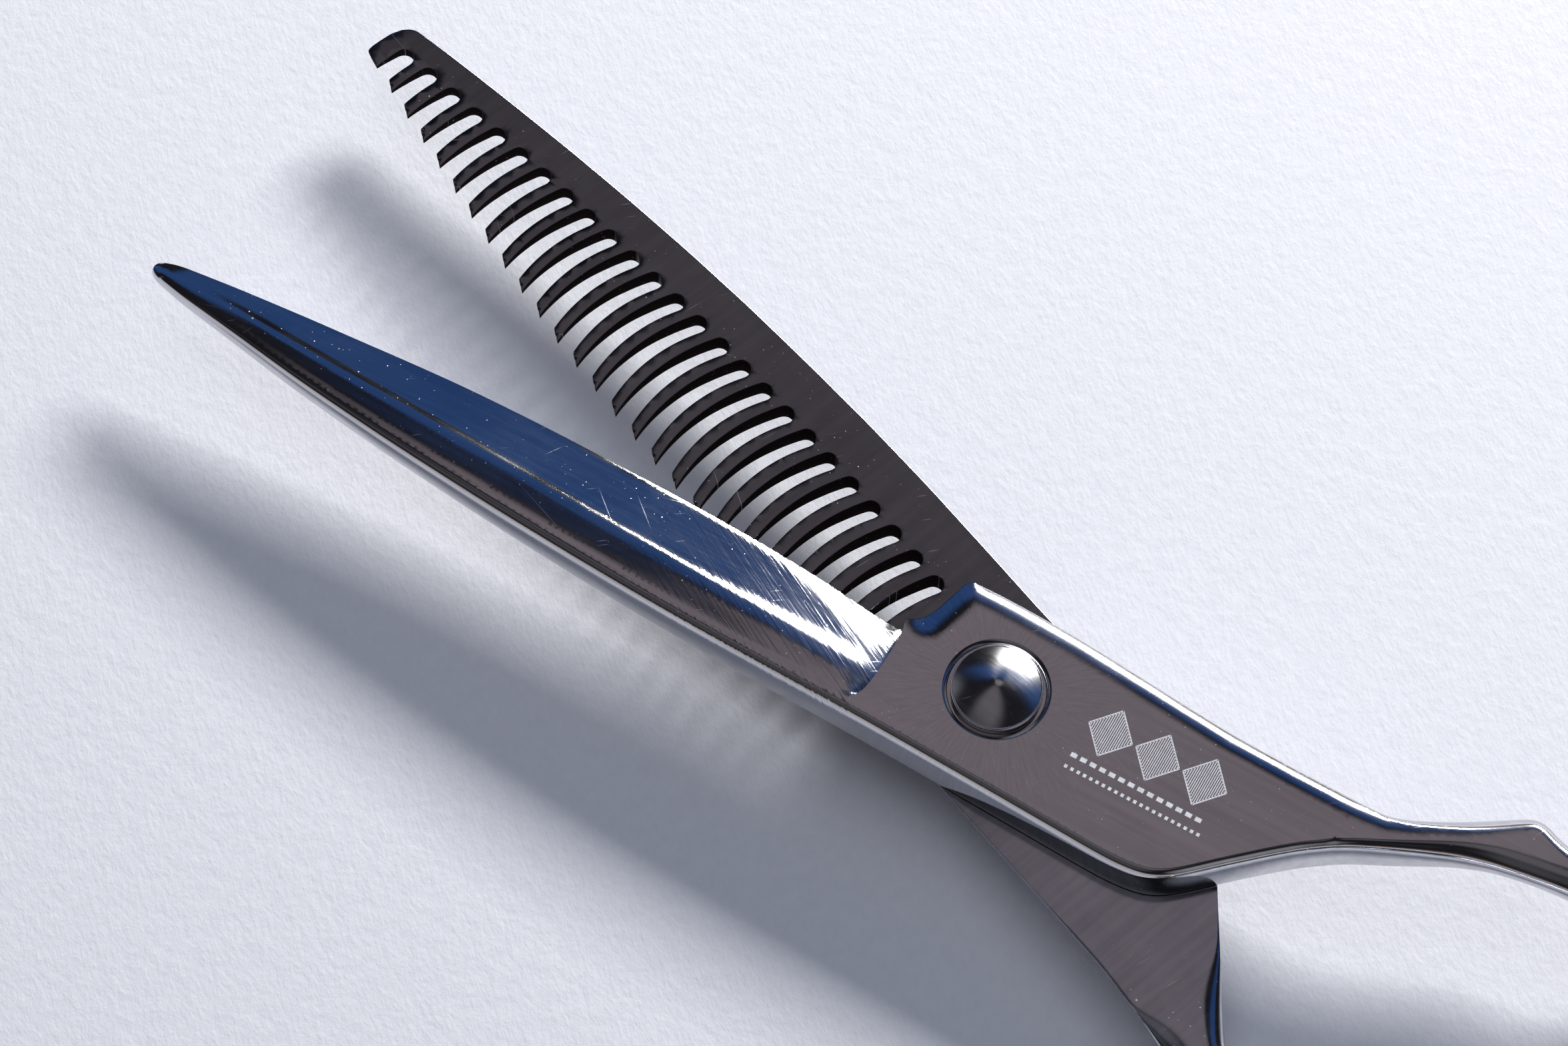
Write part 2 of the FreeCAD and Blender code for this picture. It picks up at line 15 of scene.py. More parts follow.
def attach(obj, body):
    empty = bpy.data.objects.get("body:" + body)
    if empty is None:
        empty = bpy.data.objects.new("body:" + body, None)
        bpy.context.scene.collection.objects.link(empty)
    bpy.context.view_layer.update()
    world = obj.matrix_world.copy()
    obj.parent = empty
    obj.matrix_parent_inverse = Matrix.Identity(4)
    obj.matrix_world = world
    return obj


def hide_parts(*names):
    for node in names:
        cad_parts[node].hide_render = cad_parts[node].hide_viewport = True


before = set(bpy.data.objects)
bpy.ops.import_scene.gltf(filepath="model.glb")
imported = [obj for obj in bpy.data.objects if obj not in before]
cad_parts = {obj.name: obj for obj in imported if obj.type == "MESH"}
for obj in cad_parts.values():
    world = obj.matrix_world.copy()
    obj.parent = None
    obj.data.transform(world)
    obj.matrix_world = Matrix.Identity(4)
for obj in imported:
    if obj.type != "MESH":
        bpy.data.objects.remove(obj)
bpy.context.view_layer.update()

MM = 0.001
HALF_OPEN = 9.85
Z_RIDE_FRONT = 5.42
Z_RIDE_REAR = 5.30


# ------------------------------------------------------------ shape helpers
def arc(cx, cy, r, a0, a1, n):
    return [(cx + r * math.cos(math.radians(a0 + (a1 - a0) * k / n)),
             cy + r * math.sin(math.radians(a0 + (a1 - a0) * k / n))) for k in range(n + 1)]


def with_sigma(points, sigma):
    return [(p[0], p[1], p[2] if len(p) > 2 else sigma) for p in points]


def smooth_loop(ctrl, step=0.05):
    """Closed outline through control points (x, y, sigma), smoothed along its length."""
    c = np.array(ctrl, float)
    nxt = np.roll(c, -1, 0)
    seg = np.hypot(nxt[:, 0] - c[:, 0], nxt[:, 1] - c[:, 1])
    s = np.concatenate([[0], np.cumsum(seg)])
    total = s[-1]
    n = int(total / step)
    t = np.arange(n) * total / n
    cc = np.vstack([c, c[:1]])
    x, y, sg = (np.interp(t, s, cc[:, k]) for k in range(3))
    w = int(3.5 * max(sg) / (total / n)) + 1
    ax, ay, aw = np.zeros(n), np.zeros(n), np.zeros(n)
    h = total / n
    for k in range(-w, w + 1):
        g = np.exp(-(k * h) ** 2 / (2 * np.maximum(sg, 1e-4) ** 2))
        ax += g * np.roll(x, -k)
        ay += g * np.roll(y, -k)
        aw += g
    return np.stack([ax / aw, ay / aw], 1)


def smooth_open(ctrl, sigma, step=0.05):
    """Open line through points, smoothed, with its ends held."""
    c = np.array(ctrl, float)
    seg = np.hypot(*(c[1:] - c[:-1]).T)
    s = np.concatenate([[0], np.cumsum(seg)])
    n = max(8, int(s[-1] / step))
    t = np.linspace(0, s[-1], n)
    p = np.stack([np.interp(t, s, c[:, 0]), np.interp(t, s, c[:, 1])], 1)
    w = int(3.5 * sigma / step) + 1
    w = min(w, n - 1)
    lo = 2 * p[0] - p[1:w + 1][::-1]
    hi = 2 * p[-1] - p[-w - 1:-1][::-1]
    q = np.vstack([lo, p, hi])
    k = np.exp(-(np.arange(-w, w + 1) * step) ** 2 / (2 * sigma ** 2))
    k /= k.sum()
    out = np.stack([np.convolve(q[:, j], k, "valid") for j in range(2)], 1)
    return out


def respace(p, closed, near, far, per_radius=0.10):
    """Points spaced by the line's own radius: close together in corners, far apart on long curves."""
    q = np.vstack([p, p[:1]]) if closed else p
    d = q[1:] - q[:-1]
    ln = np.hypot(*d.T)
    head = np.unwrap(np.arctan2(d[:, 1], d[:, 0]))
    turn = np.abs(np.gradient(head)) / np.maximum(ln, 1e-6)
    k = 9
    ker = np.ones(k) / k
    turn = np.convolve(np.concatenate([turn[-k:], turn, turn[:k]]) if closed else np.pad(turn, k, mode="edge"), ker, "same")[k:-k]
    size = np.clip(per_radius / np.maximum(turn, 1e-6), near, far)
    # let the spacing change slowly
    for _ in range(60):
        size = np.minimum(size, np.minimum(np.roll(size, 1), np.roll(size, -1)) + 0.008)
    cum = np.concatenate([[0], np.cumsum(ln / size)])
    n = max(6, int(round(cum[-1])))
    s = np.concatenate([[0], np.cumsum(ln)])
    at = np.interp(np.linspace(0, cum[-1], n + 1), cum, s)
    if closed:
        at = at[:-1]
    return np.stack([np.interp(at, s, q[:, 0]), np.interp(at, s, q[:, 1])], 1)


def normals_in(p):
    """Unit normals of a closed loop, pointing to its left."""
    d = np.roll(p, -1, 0) - np.roll(p, 1, 0)
    d /= np.maximum(np.hypot(*d.T), 1e-9)[:, None]
    return np.stack([-d[:, 1], d[:, 0]], 1)


def inside(loop, pts):
    """Even-odd test of points in a closed loop."""
    x, y = pts[:, 0], pts[:, 1]
    c = np.zeros(len(pts), bool)
    a, b = loop, np.roll(loop, -1, 0)
    for (x0, y0), (x1, y1) in zip(a, b):
        if y0 == y1:
            continue
        hit = (y0 > y) != (y1 > y)
        c ^= hit & (x < (x1 - x0) * (y - y0) / (y1 - y0) + x0)
    return c


def nearest(pts, loops, attrs):
    """Distance from each point to the loops, and the loops' attribute there."""
    a = np.vstack(loops)
    b = np.vstack([np.roll(l, -1, 0) for l in loops])
    va = np.concatenate(attrs)
    vb = np.concatenate([np.roll(v, -1) for v in attrs])
    ab = b - a
    l2 = np.maximum((ab ** 2).sum(1), 1e-12)
    dist = np.empty(len(pts))
    val = np.empty(len(pts))
    for i in range(0, len(pts), 400):
        p = pts[i:i + 400]
        ap = p[:, None, :] - a[None]
        t = np.clip((ap * ab[None]).sum(2) / l2[None], 0, 1)
        dd = ((ap - t[..., None] * ab[None]) ** 2).sum(2)
        j = dd.argmin(1)
        r = np.arange(len(p))
        dist[i:i + 400] = np.sqrt(dd[r, j])
        tt = t[r, j]
        val[i:i + 400] = va[j] * (1 - tt) + vb[j] * tt
    return dist, val


def table(rows, col=1):
    r = sorted(rows)
    xs = np.array([q[0] for q in r])
    ys = np.array([q[col] for q in r])

    def f(x):
        return np.interp(x, xs, ys)
    return f


def soft_table(rows, col=1, sigma=1.2):
    """A table read as a smooth curve."""
    f = table(rows, col)
    lo, hi = min(r[0] for r in rows), max(r[0] for r in rows)
    h = 0.1
    xs = np.arange(lo - 12, hi + 12, h)
    ys = f(np.clip(xs, lo, hi))
    e0 = (f(np.array([lo + 0.5]))[0] - f(np.array([lo]))[0]) / 0.5
    e1 = (f(np.array([hi]))[0] - f(np.array([hi - 0.5]))[0]) / 0.5
    ys = np.where(xs < lo, f(np.array([lo]))[0] + e0 * (xs - lo), ys)
    ys = np.where(xs > hi, f(np.array([hi]))[0] + e1 * (xs - hi), ys)
    w = int(3.5 * sigma / h)
    k = np.exp(-(np.arange(-w, w + 1) * h) ** 2 / (2 * sigma ** 2))
    k /= k.sum()
    sm = np.convolve(ys, k, "same")
    ok = slice(w, -w)

    def g(x):
        return np.interp(x, xs[ok], sm[ok])
    return g


def quarter(u):
    """Quarter ellipse: 0 at the outline, 1 and level one width in."""
    u = np.clip(u, 0, 1)
    return np.sqrt(np.maximum(0.0, 1 - (1 - u) ** 2))


def smoothstep(a, b, x):
    t = np.clip((x - a) / (b - a), 0, 1)
    return t * t * (3 - 2 * t)


class Mesh3:
    """Collects vertices and faces, and gives one object."""

    def __init__(self):
        self.v, self.f = [], []
        self.n = 0

    def add(self, pts):
        i0 = self.n
        self.v.append(np.asarray(pts, float))
        self.n += len(pts)
        return np.arange(i0, i0 + len(pts))

    def strip(self, a, b, closed=True, flip=False):
        n = len(a)
        for i in range(n if closed else n - 1):
            j = (i + 1) % n
            q = (a[i], a[j], b[j], b[i])
            self.f.append(tuple(int(k) for k in (q[::-1] if flip else q)))

    def tri(self, faces, index, flip=False):
        for t in faces:
            q = [int(index[k]) for k in t]
            self.f.append(tuple(q[::-1] if flip else q))

    def build(self, name, turn=0.0, sharp=28.0):
        co = np.vstack(self.v)
        if turn:
            a = math.radians(turn)
            c, s = math.cos(a), math.sin(a)
            co = np.stack([co[:, 0] * c - co[:, 1] * s, co[:, 0] * s + co[:, 1] * c, co[:, 2]], 1)
        me = bpy.data.meshes.new(name)
        me.from_pydata((co * MM).tolist(), [], self.f)
        me.validate()
        me.update()
        bm = bmesh.new()
        bm.from_mesh(me)
        bmesh.ops.remove_doubles(bm, verts=bm.verts, dist=2e-7)
        bmesh.ops.dissolve_degenerate(bm, edges=bm.edges, dist=1e-8)
        loose = [v for v in bm.verts if not v.link_faces]
        if loose:
            bmesh.ops.delete(bm, geom=loose, context="VERTS")
        bmesh.ops.recalc_face_normals(bm, faces=bm.faces)
        bm.to_mesh(me)
        bm.free()
        for p in me.polygons:
            p.use_smooth = True
        if sharp:
            me.set_sharp_from_angle(angle=math.radians(sharp))
        ob = bpy.data.objects.new(name, me)
        bpy.context.scene.collection.objects.link(ob)
        return ob


def cap(mesh, loops, holes, height, extra=None, lines=None, grid=0.6, tag_height=None, flip=False, offsets=None):
    """Fills the area inside the loops (outer first, then holes) with triangles.

    loops and holes are (points, indices in mesh). height(xy) gives z for new points.
    lines are feature lines [(points, z values)], which stay as edges."""
    pts = []
    idx = []
    edges = []
    for p, ix in loops + holes:
        k = len(pts)
        pts += [tuple(q) for q in p]
        idx += list(ix)
        edges += [(k + i, k + (i + 1) % len(p)) for i in range(len(p))]
    nb = len(pts)
    newz = []
    for p, z in (lines or []):
        k = len(pts)
        pts += [tuple(q) for q in p]
        newz += list(z)
        edges += [(k + i, k + i + 1) for i in range(len(p) - 1)]
    fill = []
    if extra is not None and len(extra):
        fill.append(extra)
    if grid:
        lo, hi = loops[0][0].min(0), loops[0][0].max(0)
        gx = np.arange(lo[0] + grid / 2, hi[0], grid)
        gy = np.arange(lo[1] + grid / 2, hi[1], grid * 0.866)
        X, Y = np.meshgrid(gx, gy)
        X[1::2] += grid / 2
        fill.append(np.stack([X.ravel(), Y.ravel()], 1))
    if fill:
        g = np.vstack(fill)
        keep = inside(loops[0][0], g)
        g = g[keep]
        for p, _ in holes:
            g = g[~inside(p, g)]
        allb = np.array(pts)
        # stay off the lines already there
        step = 300
        ok = np.ones(len(g), bool)
        for i in range(0, len(g), step):
            d = np.sqrt(((g[i:i + step, None, :] - allb[None]) ** 2).sum(2)).min(1)
            ok[i:i + step] = d > 0.065
        g = g[ok]
        newz += list(height(g))
        pts += [tuple(q) for q in g]
    outer = list(range(len(loops[0][0])))
    res = delaunay_2d_cdt([Vector(q) for q in pts], edges, [], 0, 1e-7)
    ov, oe, of_, vi, ei, fi = res
    # indices of the mesh's vertices for each output vertex
    new_pts = []
    mapped = []
    z_all = [None] * nb + newz
    for k, src in enumerate(vi):
        s = [q for q in src]
        if s and s[0] < nb:
            mapped.append(("old", idx[s[0]]))
        elif s:
            mapped.append(("new", len(new_pts)))
            new_pts.append((ov[k][0], ov[k][1], z_all[s[0]]))
        else:
            mapped.append(("new", len(new_pts)))
            xy = np.array([[ov[k][0], ov[k][1]]])
            new_pts.append((ov[k][0], ov[k][1], float(height(xy)[0])))
    base = mesh.add(np.array(new_pts).reshape(-1, 3)) if new_pts else np.array([], int)
    out = np.array([m[1] if m[0] == "old" else base[m[1]] for m in mapped])
    tri = np.array([f for f in of_ if len(f) == 3])
    P = np.array([[q[0], q[1]] for q in ov])
    cen = P[tri].mean(1)
    keep = inside(loops[0][0], cen)
    for p, _ in holes:
        keep &= ~inside(p, cen)
    mesh.tri(tri[keep], out, flip)
    return tri[keep], out


def inset_levels(loop, depth, fractions):
    """The loop moved in by each fraction of its own depth, kept from crossing itself."""
    out = [loop.copy()]
    p = loop.copy()
    last = 0.0
    n0 = normals_in(loop)
    for f in fractions:
        steps = 4
        for s in range(steps):
            n = normals_in(p)
            n = n * 0.7 + n0 * 0.3
            n /= np.maximum(np.hypot(*n.T), 1e-9)[:, None]
            p = p + n * (depth * (f - last) / steps)[:, None]
            t = np.roll(p, -1, 0) - np.roll(p, 1, 0)
            t /= np.maximum(np.hypot(*t.T), 1e-9)[:, None]
            m = (np.roll(p, -1, 0) + np.roll(p, 1, 0)) / 2 - p
            p = p + t * ((m * t).sum(1) * 0.25)[:, None]
        last = f
        out.append(p.copy())
    return out


THETA = [0, 5, 11, 18, 26, 35, 45, 56, 68, 79, 90]


def shell(name, outer, holes, depth_top, depth_bot, surf_top, surf_bot, mid,
          bores=(), lines_top=None, turn=0.0, grid=0.6, sharp=28.0, extra_top=None, theta=THETA):
    """A closed part whose outline is its equator.

    Above the equator it rises to surf_top, below it drops to surf_bot, each within its own
    depth from the outline, as a quarter ellipse. bores are (radius, [(r, z), ...]) at 0,0: the
    revolved wall from the top face's edge to the bottom face's."""
    m = Mesh3()
    loops = [outer] + list(holes)
    fr = [1 - math.cos(math.radians(t)) for t in theta[1:]]
    caps = {}
    equator = []
    for lp in loops:
        equator.append(m.add(np.column_stack([lp, mid(lp)])))
    for side, depth_f, surf, sgn in (("top", depth_top, surf_top, 1), ("bot", depth_bot, surf_bot, -1)):
        depths = [depth_f(lp) for lp in loops]
        edge_loops = []
        for k, lp in enumerate(loops):
            lv = inset_levels(lp, depths[k], fr)
            prev = equator[k]
            for j, f in enumerate(fr):
                q = lv[j + 1]
                share = np.full(len(q), f)
                if f > 0.08:
                    deep = depths[k] > 0.2
                    if deep.any():
                        dq, Dq = nearest(q[deep], loops, depths)
                        share[deep] = dq / np.maximum(Dq, 1e-6)
                z = mid(q) + sgn * surf(q) * quarter(share)
                ix = m.add(np.column_stack([q, z]))
                m.strip(prev, ix, True, flip=(sgn < 0))
                prev = ix
            edge_loops.append((lv[-1], prev))

        def height(q, depths=depths, surf=surf, sgn=sgn):
            d, D = nearest(q, loops, depths)
            return mid(q) + sgn * surf(q) * quarter(d / np.maximum(D, 1e-6))

        # rows of points that finish the rounding inside the last loop
        extra = []
        if extra_top is not None and side == "top":
            extra.append(extra_top)
        for k, lp in enumerate(loops):
            n = normals_in(lp)
            for f in (1.12, 1.30):
                q = lp + n * (depths[k] * f)[:, None]
                wide = depths[k] > 0.25
                q = q[wide]
                if not len(q):
                    continue
                d, _ = nearest(q, loops, depths)
                q = q[d > (depths[k] * f)[wide] * 0.985 - 1e-4][::2]
                extra.append(q)
        ex = np.vstack(extra) if extra else None
        if ex is not None and len(ex):
            keep = []
            cell = {}
            for i, (x, y) in enumerate(ex):
                key = (int(x / 0.12), int(y / 0.12))
                near = False
                for a in (-1, 0, 1):
                    for b in (-1, 0, 1):
                        for j in cell.get((key[0] + a, key[1] + b), ()):
                            if (ex[j][0] - x) ** 2 + (ex[j][1] - y) ** 2 < 0.0045:
                                near = True
                if not near:
                    keep.append(i)
                    cell.setdefault(key, []).append(i)
            ex = ex[keep]
        circ = []
        for r_top, r_bot, prof in bores:
            r = r_top if side == "top" else r_bot
            c = np.array(arc(0, 0, r, 0, 360, 96)[:-1])
            ix = m.add(np.column_stack([c, height(c)]))
            circ.append((c, ix))
        caps[side] = circ
        lines = lines_top if side == "top" else None
        cap(m, [edge_loops[0]], [(p, i) for p, i in edge_loops[1:]] + circ, height,
            extra=ex, lines=lines, grid=grid, flip=(sgn < 0))
    for k, (r_top, r_bot, prof) in enumerate(bores):
        prev = caps["top"][k][1]
        for r, z in prof:
            c = np.array(arc(0, 0, r, 0, 360, 96)[:-1])
            ix = m.add(np.column_stack([c, np.full(len(c), z)]))
            m.strip(prev, ix, True)
            prev = ix
        m.strip(prev, caps["bot"][k][1], True)
    return m.build(name, turn, sharp)


# --------------------------------------------------------- the front half
FINGER_C, FINGER_R = (-66.0, -16.2), 10.7
THUMB_C, THUMB_R = (-58.0, 16.2), 11.2
RING_WALL = 4.4

EDGE = [(69.6, -0.62), (68.8, -0.83), (66.6, -1.06), (64.45, -1.28), (62.3, -1.47), (60.1, -1.65),
        (57.9, -1.84), (55.7, -1.99), (53.5, -2.15), (51.4, -2.31), (49.2, -2.46), (47, -2.60), (44.8, -2.69),
        (42.5, -2.75), (40.3, -2.79), (38.1, -2.80), (35.8, -2.80), (33.6, -2.78), (30, -2.74), (25, -2.64),
        (20, -2.43), (15.6, -2.12), (13.1, -1.85), (10.7, -1.56)]
SPINE = [(69.2, 1.10), (67.3, 1.56), (64.8, 2.00), (62.2, 2.44), (59.6, 2.91), (57, 3.36), (54.5, 3.73),
         (52, 4.07), (49.6, 4.39), (47.2, 4.68), (44.8, 4.95), (42.3, 5.21), (40, 5.44), (37.6, 5.66),
         (35.2, 5.86), (32.9, 6.04), (30.6, 6.21), (28.3, 6.36), (26, 6.5), (23.7, 6.62), (21.4, 6.72),
         (19.3, 6.80), (17, 6.87), (14.8, 6.94), (12.5, 7.00), (10.4, 7.06), (6.45, 7.17), (3.7, 7.26),
         (0.92, 7.37), (-3.16, 7.52), (-7.3, 7.70), (-10.05, 7.83)]
front_ctrl = (
    with_sigma([(70.29, -0.36, 0.14), (70.46, 0.05, 0.14), (70.39, 0.55, 0.14), (69.94, 0.90, 0.2)], 0.2)
    + [(x, y, min(1.2, 0.3 + (69.5 - x) * 0.12)) for x, y in SPINE]
    + with_sigma([(-12.8, 7.93), (-15.2, 7.78), (-16.5, 7.38), (-17.5, 6.78), (-18.64, 5.78), (-20.1, 4.38),
                  (-22.8, 1.92), (-24.65, 0.32), (-27.15, -1.42), (-30.9, -3.28), (-34.1, -4.82), (-36.4, -5.60),
                  (-38.9, -6.05), (-42.2, -6.52), (-45.0, -6.62), (-48.0, -6.55), (-50.2, -6.35), (-52.2, -5.9),
                  (-53.9, -5.2), (-55.5, -4.42), (-57.3, -3.62)], 0.75)
    + with_sigma([(FINGER_C[0] + r * math.cos(math.radians(a)), FINGER_C[1] + r * math.sin(math.radians(a)))
                  for a in np.linspace(62, 356, 220)
                  for r in [FINGER_R + RING_WALL + 0.42 * float(smoothstep(12.5, 8.0, abs(a - 205.0)))]], 0.35)
    + with_sigma([(-50.92, -15.4), (-50.85, -14.2), (-50.55, -13.0), (-49.9, -11.9), (-48.9, -11.1), (-47.4, -10.55),
                  (-45.5, -10.2), (-43.5, -9.9), (-41.8, -9.72)], 0.7)
    + with_sigma([(-40.6, -9.78), (-39.6, -10.02), (-38.6, -10.50), (-37.6, -10.60), (-36.7, -10.18)], 0.38)
    + with_sigma([(-34.6, -8.92), (-32.5, -7.72), (-29.9, -6.36), (-28.3, -5.70)], 0.6)
    + with_sigma([(-25.6, -5.44), (-21.5, -5.46), (-16.2, -5.60), (-12.3, -5.92), (-7.8, -6.34), (-3.3, -6.72),
                  (0.65, -6.90)], 1.3)
    + with_sigma([(3.2, -6.95), (4.9, -6.93)], 0.45)
    + with_sigma([(5.75, -6.78), (6.12, -6.3)], 0.22)
    + with_sigma([(6.38, -5.3), (6.65, -4.3), (6.95, -3.35), (7.40, -2.55), (7.95, -2.0), (8.45, -1.75)], 0.22)
    + with_sigma([(8.85, -1.42, 0.05)], 0.05)
    + [(x, y, 0.9 if x < 66 else 0.4) for x, y in reversed(EDGE)]
)
front_fine = smooth_loop(front_ctrl)
front_loop = respace(front_fine, True, 0.055, 0.34)

edge_y = soft_table(EDGE + [(8.0, -1.35)], sigma=0.9)
spine_y = soft_table(SPINE + [(70.0, 0.9)], sigma=1.0)
# x, spine thickness, side width, land width, share of the width where the ridge lies
BLADE = [(6.0, 2.73, 0.95, 0.50, 0.80), (9.0, 2.72, 0.95, 0.46, 0.80), (14.0, 2.66, 0.95, 0.42, 0.76),
         (20.0, 2.56, 0.96, 0.42, 0.76), (28.0, 2.42, 0.97, 0.45, 0.745), (36.0, 2.22, 0.97, 0.50, 0.74),
         (42.0, 2.06, 0.93, 0.52, 0.75), (50.0, 1.80, 0.84, 0.50, 0.76), (58.0, 1.50, 0.72, 0.42, 0.76),
         (64.0, 1.22, 0.58, 0.32, 0.76), (68.5, 0.94, 0.44, 0.20, 0.76), (70.6, 0.72, 0.36, 0.15, 0.76)]
thick = soft_table(BLADE, 1, 1.5)
sidew = soft_table(BLADE, 2, 1.5)
landw = soft_table(BLADE, 3, 1.5)
ridge_u = soft_table(BLADE, 4, 1.5)
EDGE_H = 0.05
CREST_U = 0.645


def rim_y(x):
    """Inner edge of the land along the spine."""
    return spine_y(x) - sidew(x) - landw(x)


STEP = [(8.42, -1.72), (8.10, -1.20), (7.96, -0.6), (7.93, 0.4), (7.93, 1.6), (7.99, 3.0), (8.10, 4.2), (8.28, 5.0)]
rim_pts = STEP + [(8.62, 5.42), (9.3, 5.60)] + [(x, float(rim_y(x))) for x in np.arange(10.5, 69.6, 1.0)]
rim_line = smooth_open(rim_pts, 0.26)
# the rim starts just inside the outline's side wall
rim_line = rim_line[5:]
RIM_NEAR = rim_line[rim_line[:, 0] < 13.5][::4]


def open_distance(p, line):
    """Distance from points to an open line."""
    a, ab = line[:-1], line[1:] - line[:-1]
    l2 = np.maximum((ab ** 2).sum(1), 1e-12)
    out = np.empty(len(p))
    for i in range(0, len(p), 2000):
        ap = p[i:i + 2000, None, :] - a[None]
        t = np.clip((ap * ab[None]).sum(2) / l2[None], 0, 1)
        out[i:i + 2000] = np.sqrt((((ap - t[..., None] * ab[None]) ** 2).sum(2)).min(1))
    return out


def blue_z(p):
    """Height of the hollow-sided blade surface over the ride plane."""
    x, y = p[:, 0], p[:, 1]
    y0, y1 = edge_y(x), rim_y(x)
    w = np.maximum(y1 - y0, 0.4)
    u = np.clip((y - y0) / w, -0.05, 1.15)
    t = thick(x)
    ur = ridge_u(x)
    zr = t - 0.135 * (1 - ur) * w                     # the strip beyond the ridge still rises
    # thickness left at the honed edge, so that the hollow keeps one slope along the blade
    e = np.clip((zr - 0.255 * ur * w) / t, 0.17, 0.62)
    ub = np.clip(u / ur, 0, 1.0)
    curve = ub + 0.10 * ub * (1 - ub)
    zb = e * t + (zr - e * t) * curve
    v = np.clip((u - ur) / (1 - ur), 0, 1.2)
    zn = zr + (t - zr) * (v + 0.26 * v * (1 - v))
    z = np.where(u < ur, zb, zn)
    # a polishing crest along the blade, broad at the heel and fading towards the tip
    broad = np.exp(-((x - 8) / 11.0) ** 2)
    wide = 0.34 + 0.61 * broad
    crest = (0.056 + 0.144 * broad) * smoothstep(68, 60, x) * (0.25 + 0.75 * smoothstep(8.3, 10.2, x))
    over = (u - CREST_U) * w
    wide = np.where(over > 0, 2.2 * wide, wide)       # it falls away slowly on the spine's side
    z = z + crest * np.exp(-(over / wide) ** 2)
    # towards the heel the edge is rolled off more, over a wedge that narrows along the blade
    wedge = 0.4 + 3.2 * np.exp(-((x - 8.0) / 7.5) ** 2)
    z = z - 0.12 * wedge * np.clip(1 - np.maximum(y - y0, 0) / wedge, 0, 1) ** 2 * smoothstep(40, 26, x) * (0.35 + 0.65 * smoothstep(8.1, 10.0, x))
    sunk = 0.10 * np.exp(-(np.maximum(x - 8.4, 0) / 1.5) ** 2) * smoothstep(0.35, 0.9, u)
    # the cutter's groove along the step
    near = (x < 13.0) & (x > 7.0)
    if near.any():
        dist = open_distance(p[near], RIM_NEAR)
        dip = np.zeros(len(x))
        dip[near] = 0.07 * np.exp(-((dist - 0.12) / 0.26) ** 2) * smoothstep(9.6, 8.5, x[near])
        sunk = sunk + dip
    sunk = sunk * (1 - smoothstep(0.76, 0.96, u) * smoothstep(8.2, 9.0, x))
    return np.maximum(z - sunk, EDGE_H)


def is_blue(p):
    x, y = p[:, 0], p[:, 1]
    d, side = rim_side(p)
    return side


def rim_side(p):
    """Which points lie on the blade side of the rim line."""
    poly = np.vstack([rim_line, [(72.5, float(rim_y(69.5))), (75.0, -9.0), (8.6, -9.0)]])
    s = inside(poly, p)
    return None, s


TOP_ROLL = 2.6


def top_edge_distance(p):
    """Distance to the upper outline of the pivot block, where its face rolls off."""
    x, y = p[:, 0], p[:, 1]
    line = np.array([(7.2, -2.6), (6.8, -3.9), (6.3, -5.6), (5.6, -6.85), (3.4, -6.95), (0.65, -6.9), (-3.3, -6.72),
                     (-7.8, -6.34), (-12.3, -5.92), (-16.2, -5.6), (-21.5, -5.46), (-25.6, -5.44), (-28.3, -5.7),
                     (-29.9, -6.36), (-32.5, -7.72), (-34.6, -8.92), (-37.6, -10.5), (-44, -11)])
    a, b = line[:-1], line[1:]
    ab = b - a
    l2 = (ab ** 2).sum(1)
    best = np.full(len(p), 1e9)
    for i in range(len(a)):
        t = np.clip(((p - a[i]) * ab[i]).sum(1) / l2[i], 0, 1)
        best = np.minimum(best, np.hypot(*(p - a[i] - t[:, None] * ab[i]).T))
    return best


def top_roll(d, x):
    """Fall of the face near its upper outline: a long soft roll, then a rounded shoulder."""
    return (0.44 * np.clip(1 - d / TOP_ROLL, 0, 1) ** 2
            + 0.16 * np.clip(1 - (d - 0.2) / 1.0, 0, 1.2) ** 2 * smoothstep(6.0, 4.2, x))


ARM_FRONT = [(-24, 2.73, 0.05, 5.47), (-28, 2.66, 0.07, 5.48), (-32, 2.20, 0.42, 5.88), (-36, 1.62, 0.98, 6.42),
             (-38, 1.50, 1.15, 6.58), (-40.5, 1.46, 1.38, 6.62), (-44, 1.62, 1.60, 6.20), (-47.5, 1.84, 1.82, 5.32),
             (-51, 2.05, 2.05, 4.25), (-53.7, 2.25, 2.25, 3.42), (-56, 2.42, 2.42, 2.95), (-59, 2.62, 2.62, 2.72),
             (-62, 2.69, 2.69, 2.70), (-90, 2.69, 2.69, 2.70)]
f_top = soft_table(ARM_FRONT, 1, 1.1)
f_bot = soft_table(ARM_FRONT, 2, 1.1)
f_mid = soft_table(ARM_FRONT, 3, 1.1)


def front_mid(p):
    return np.where(p[:, 0] > -25, Z_RIDE_FRONT + EDGE_H, f_mid(p[:, 0]))


def front_surf(p):
    x = p[:, 0]
    body = np.where(x > -26, 8.20 - Z_RIDE_FRONT - EDGE_H, f_top(x))
    d = top_edge_distance(p)
    roll = top_roll(d, x) * smoothstep(-41, -33, x)
    body = body - roll * np.where(x > 9, 0.0, 1.0)
    t = thick(x) - EDGE_H
    land = body * (1 - smoothstep(7.5, 12.0, x)) + t * smoothstep(7.5, 12.0, x)
    z = np.where(x > 7.5, land, body)
    blue = rim_side(p)[1]
    zb = blue_z(p) - EDGE_H
    z = np.where(blue, np.minimum(zb, z), z)
    # the edge itself
    return np.maximum(z, 0.02)


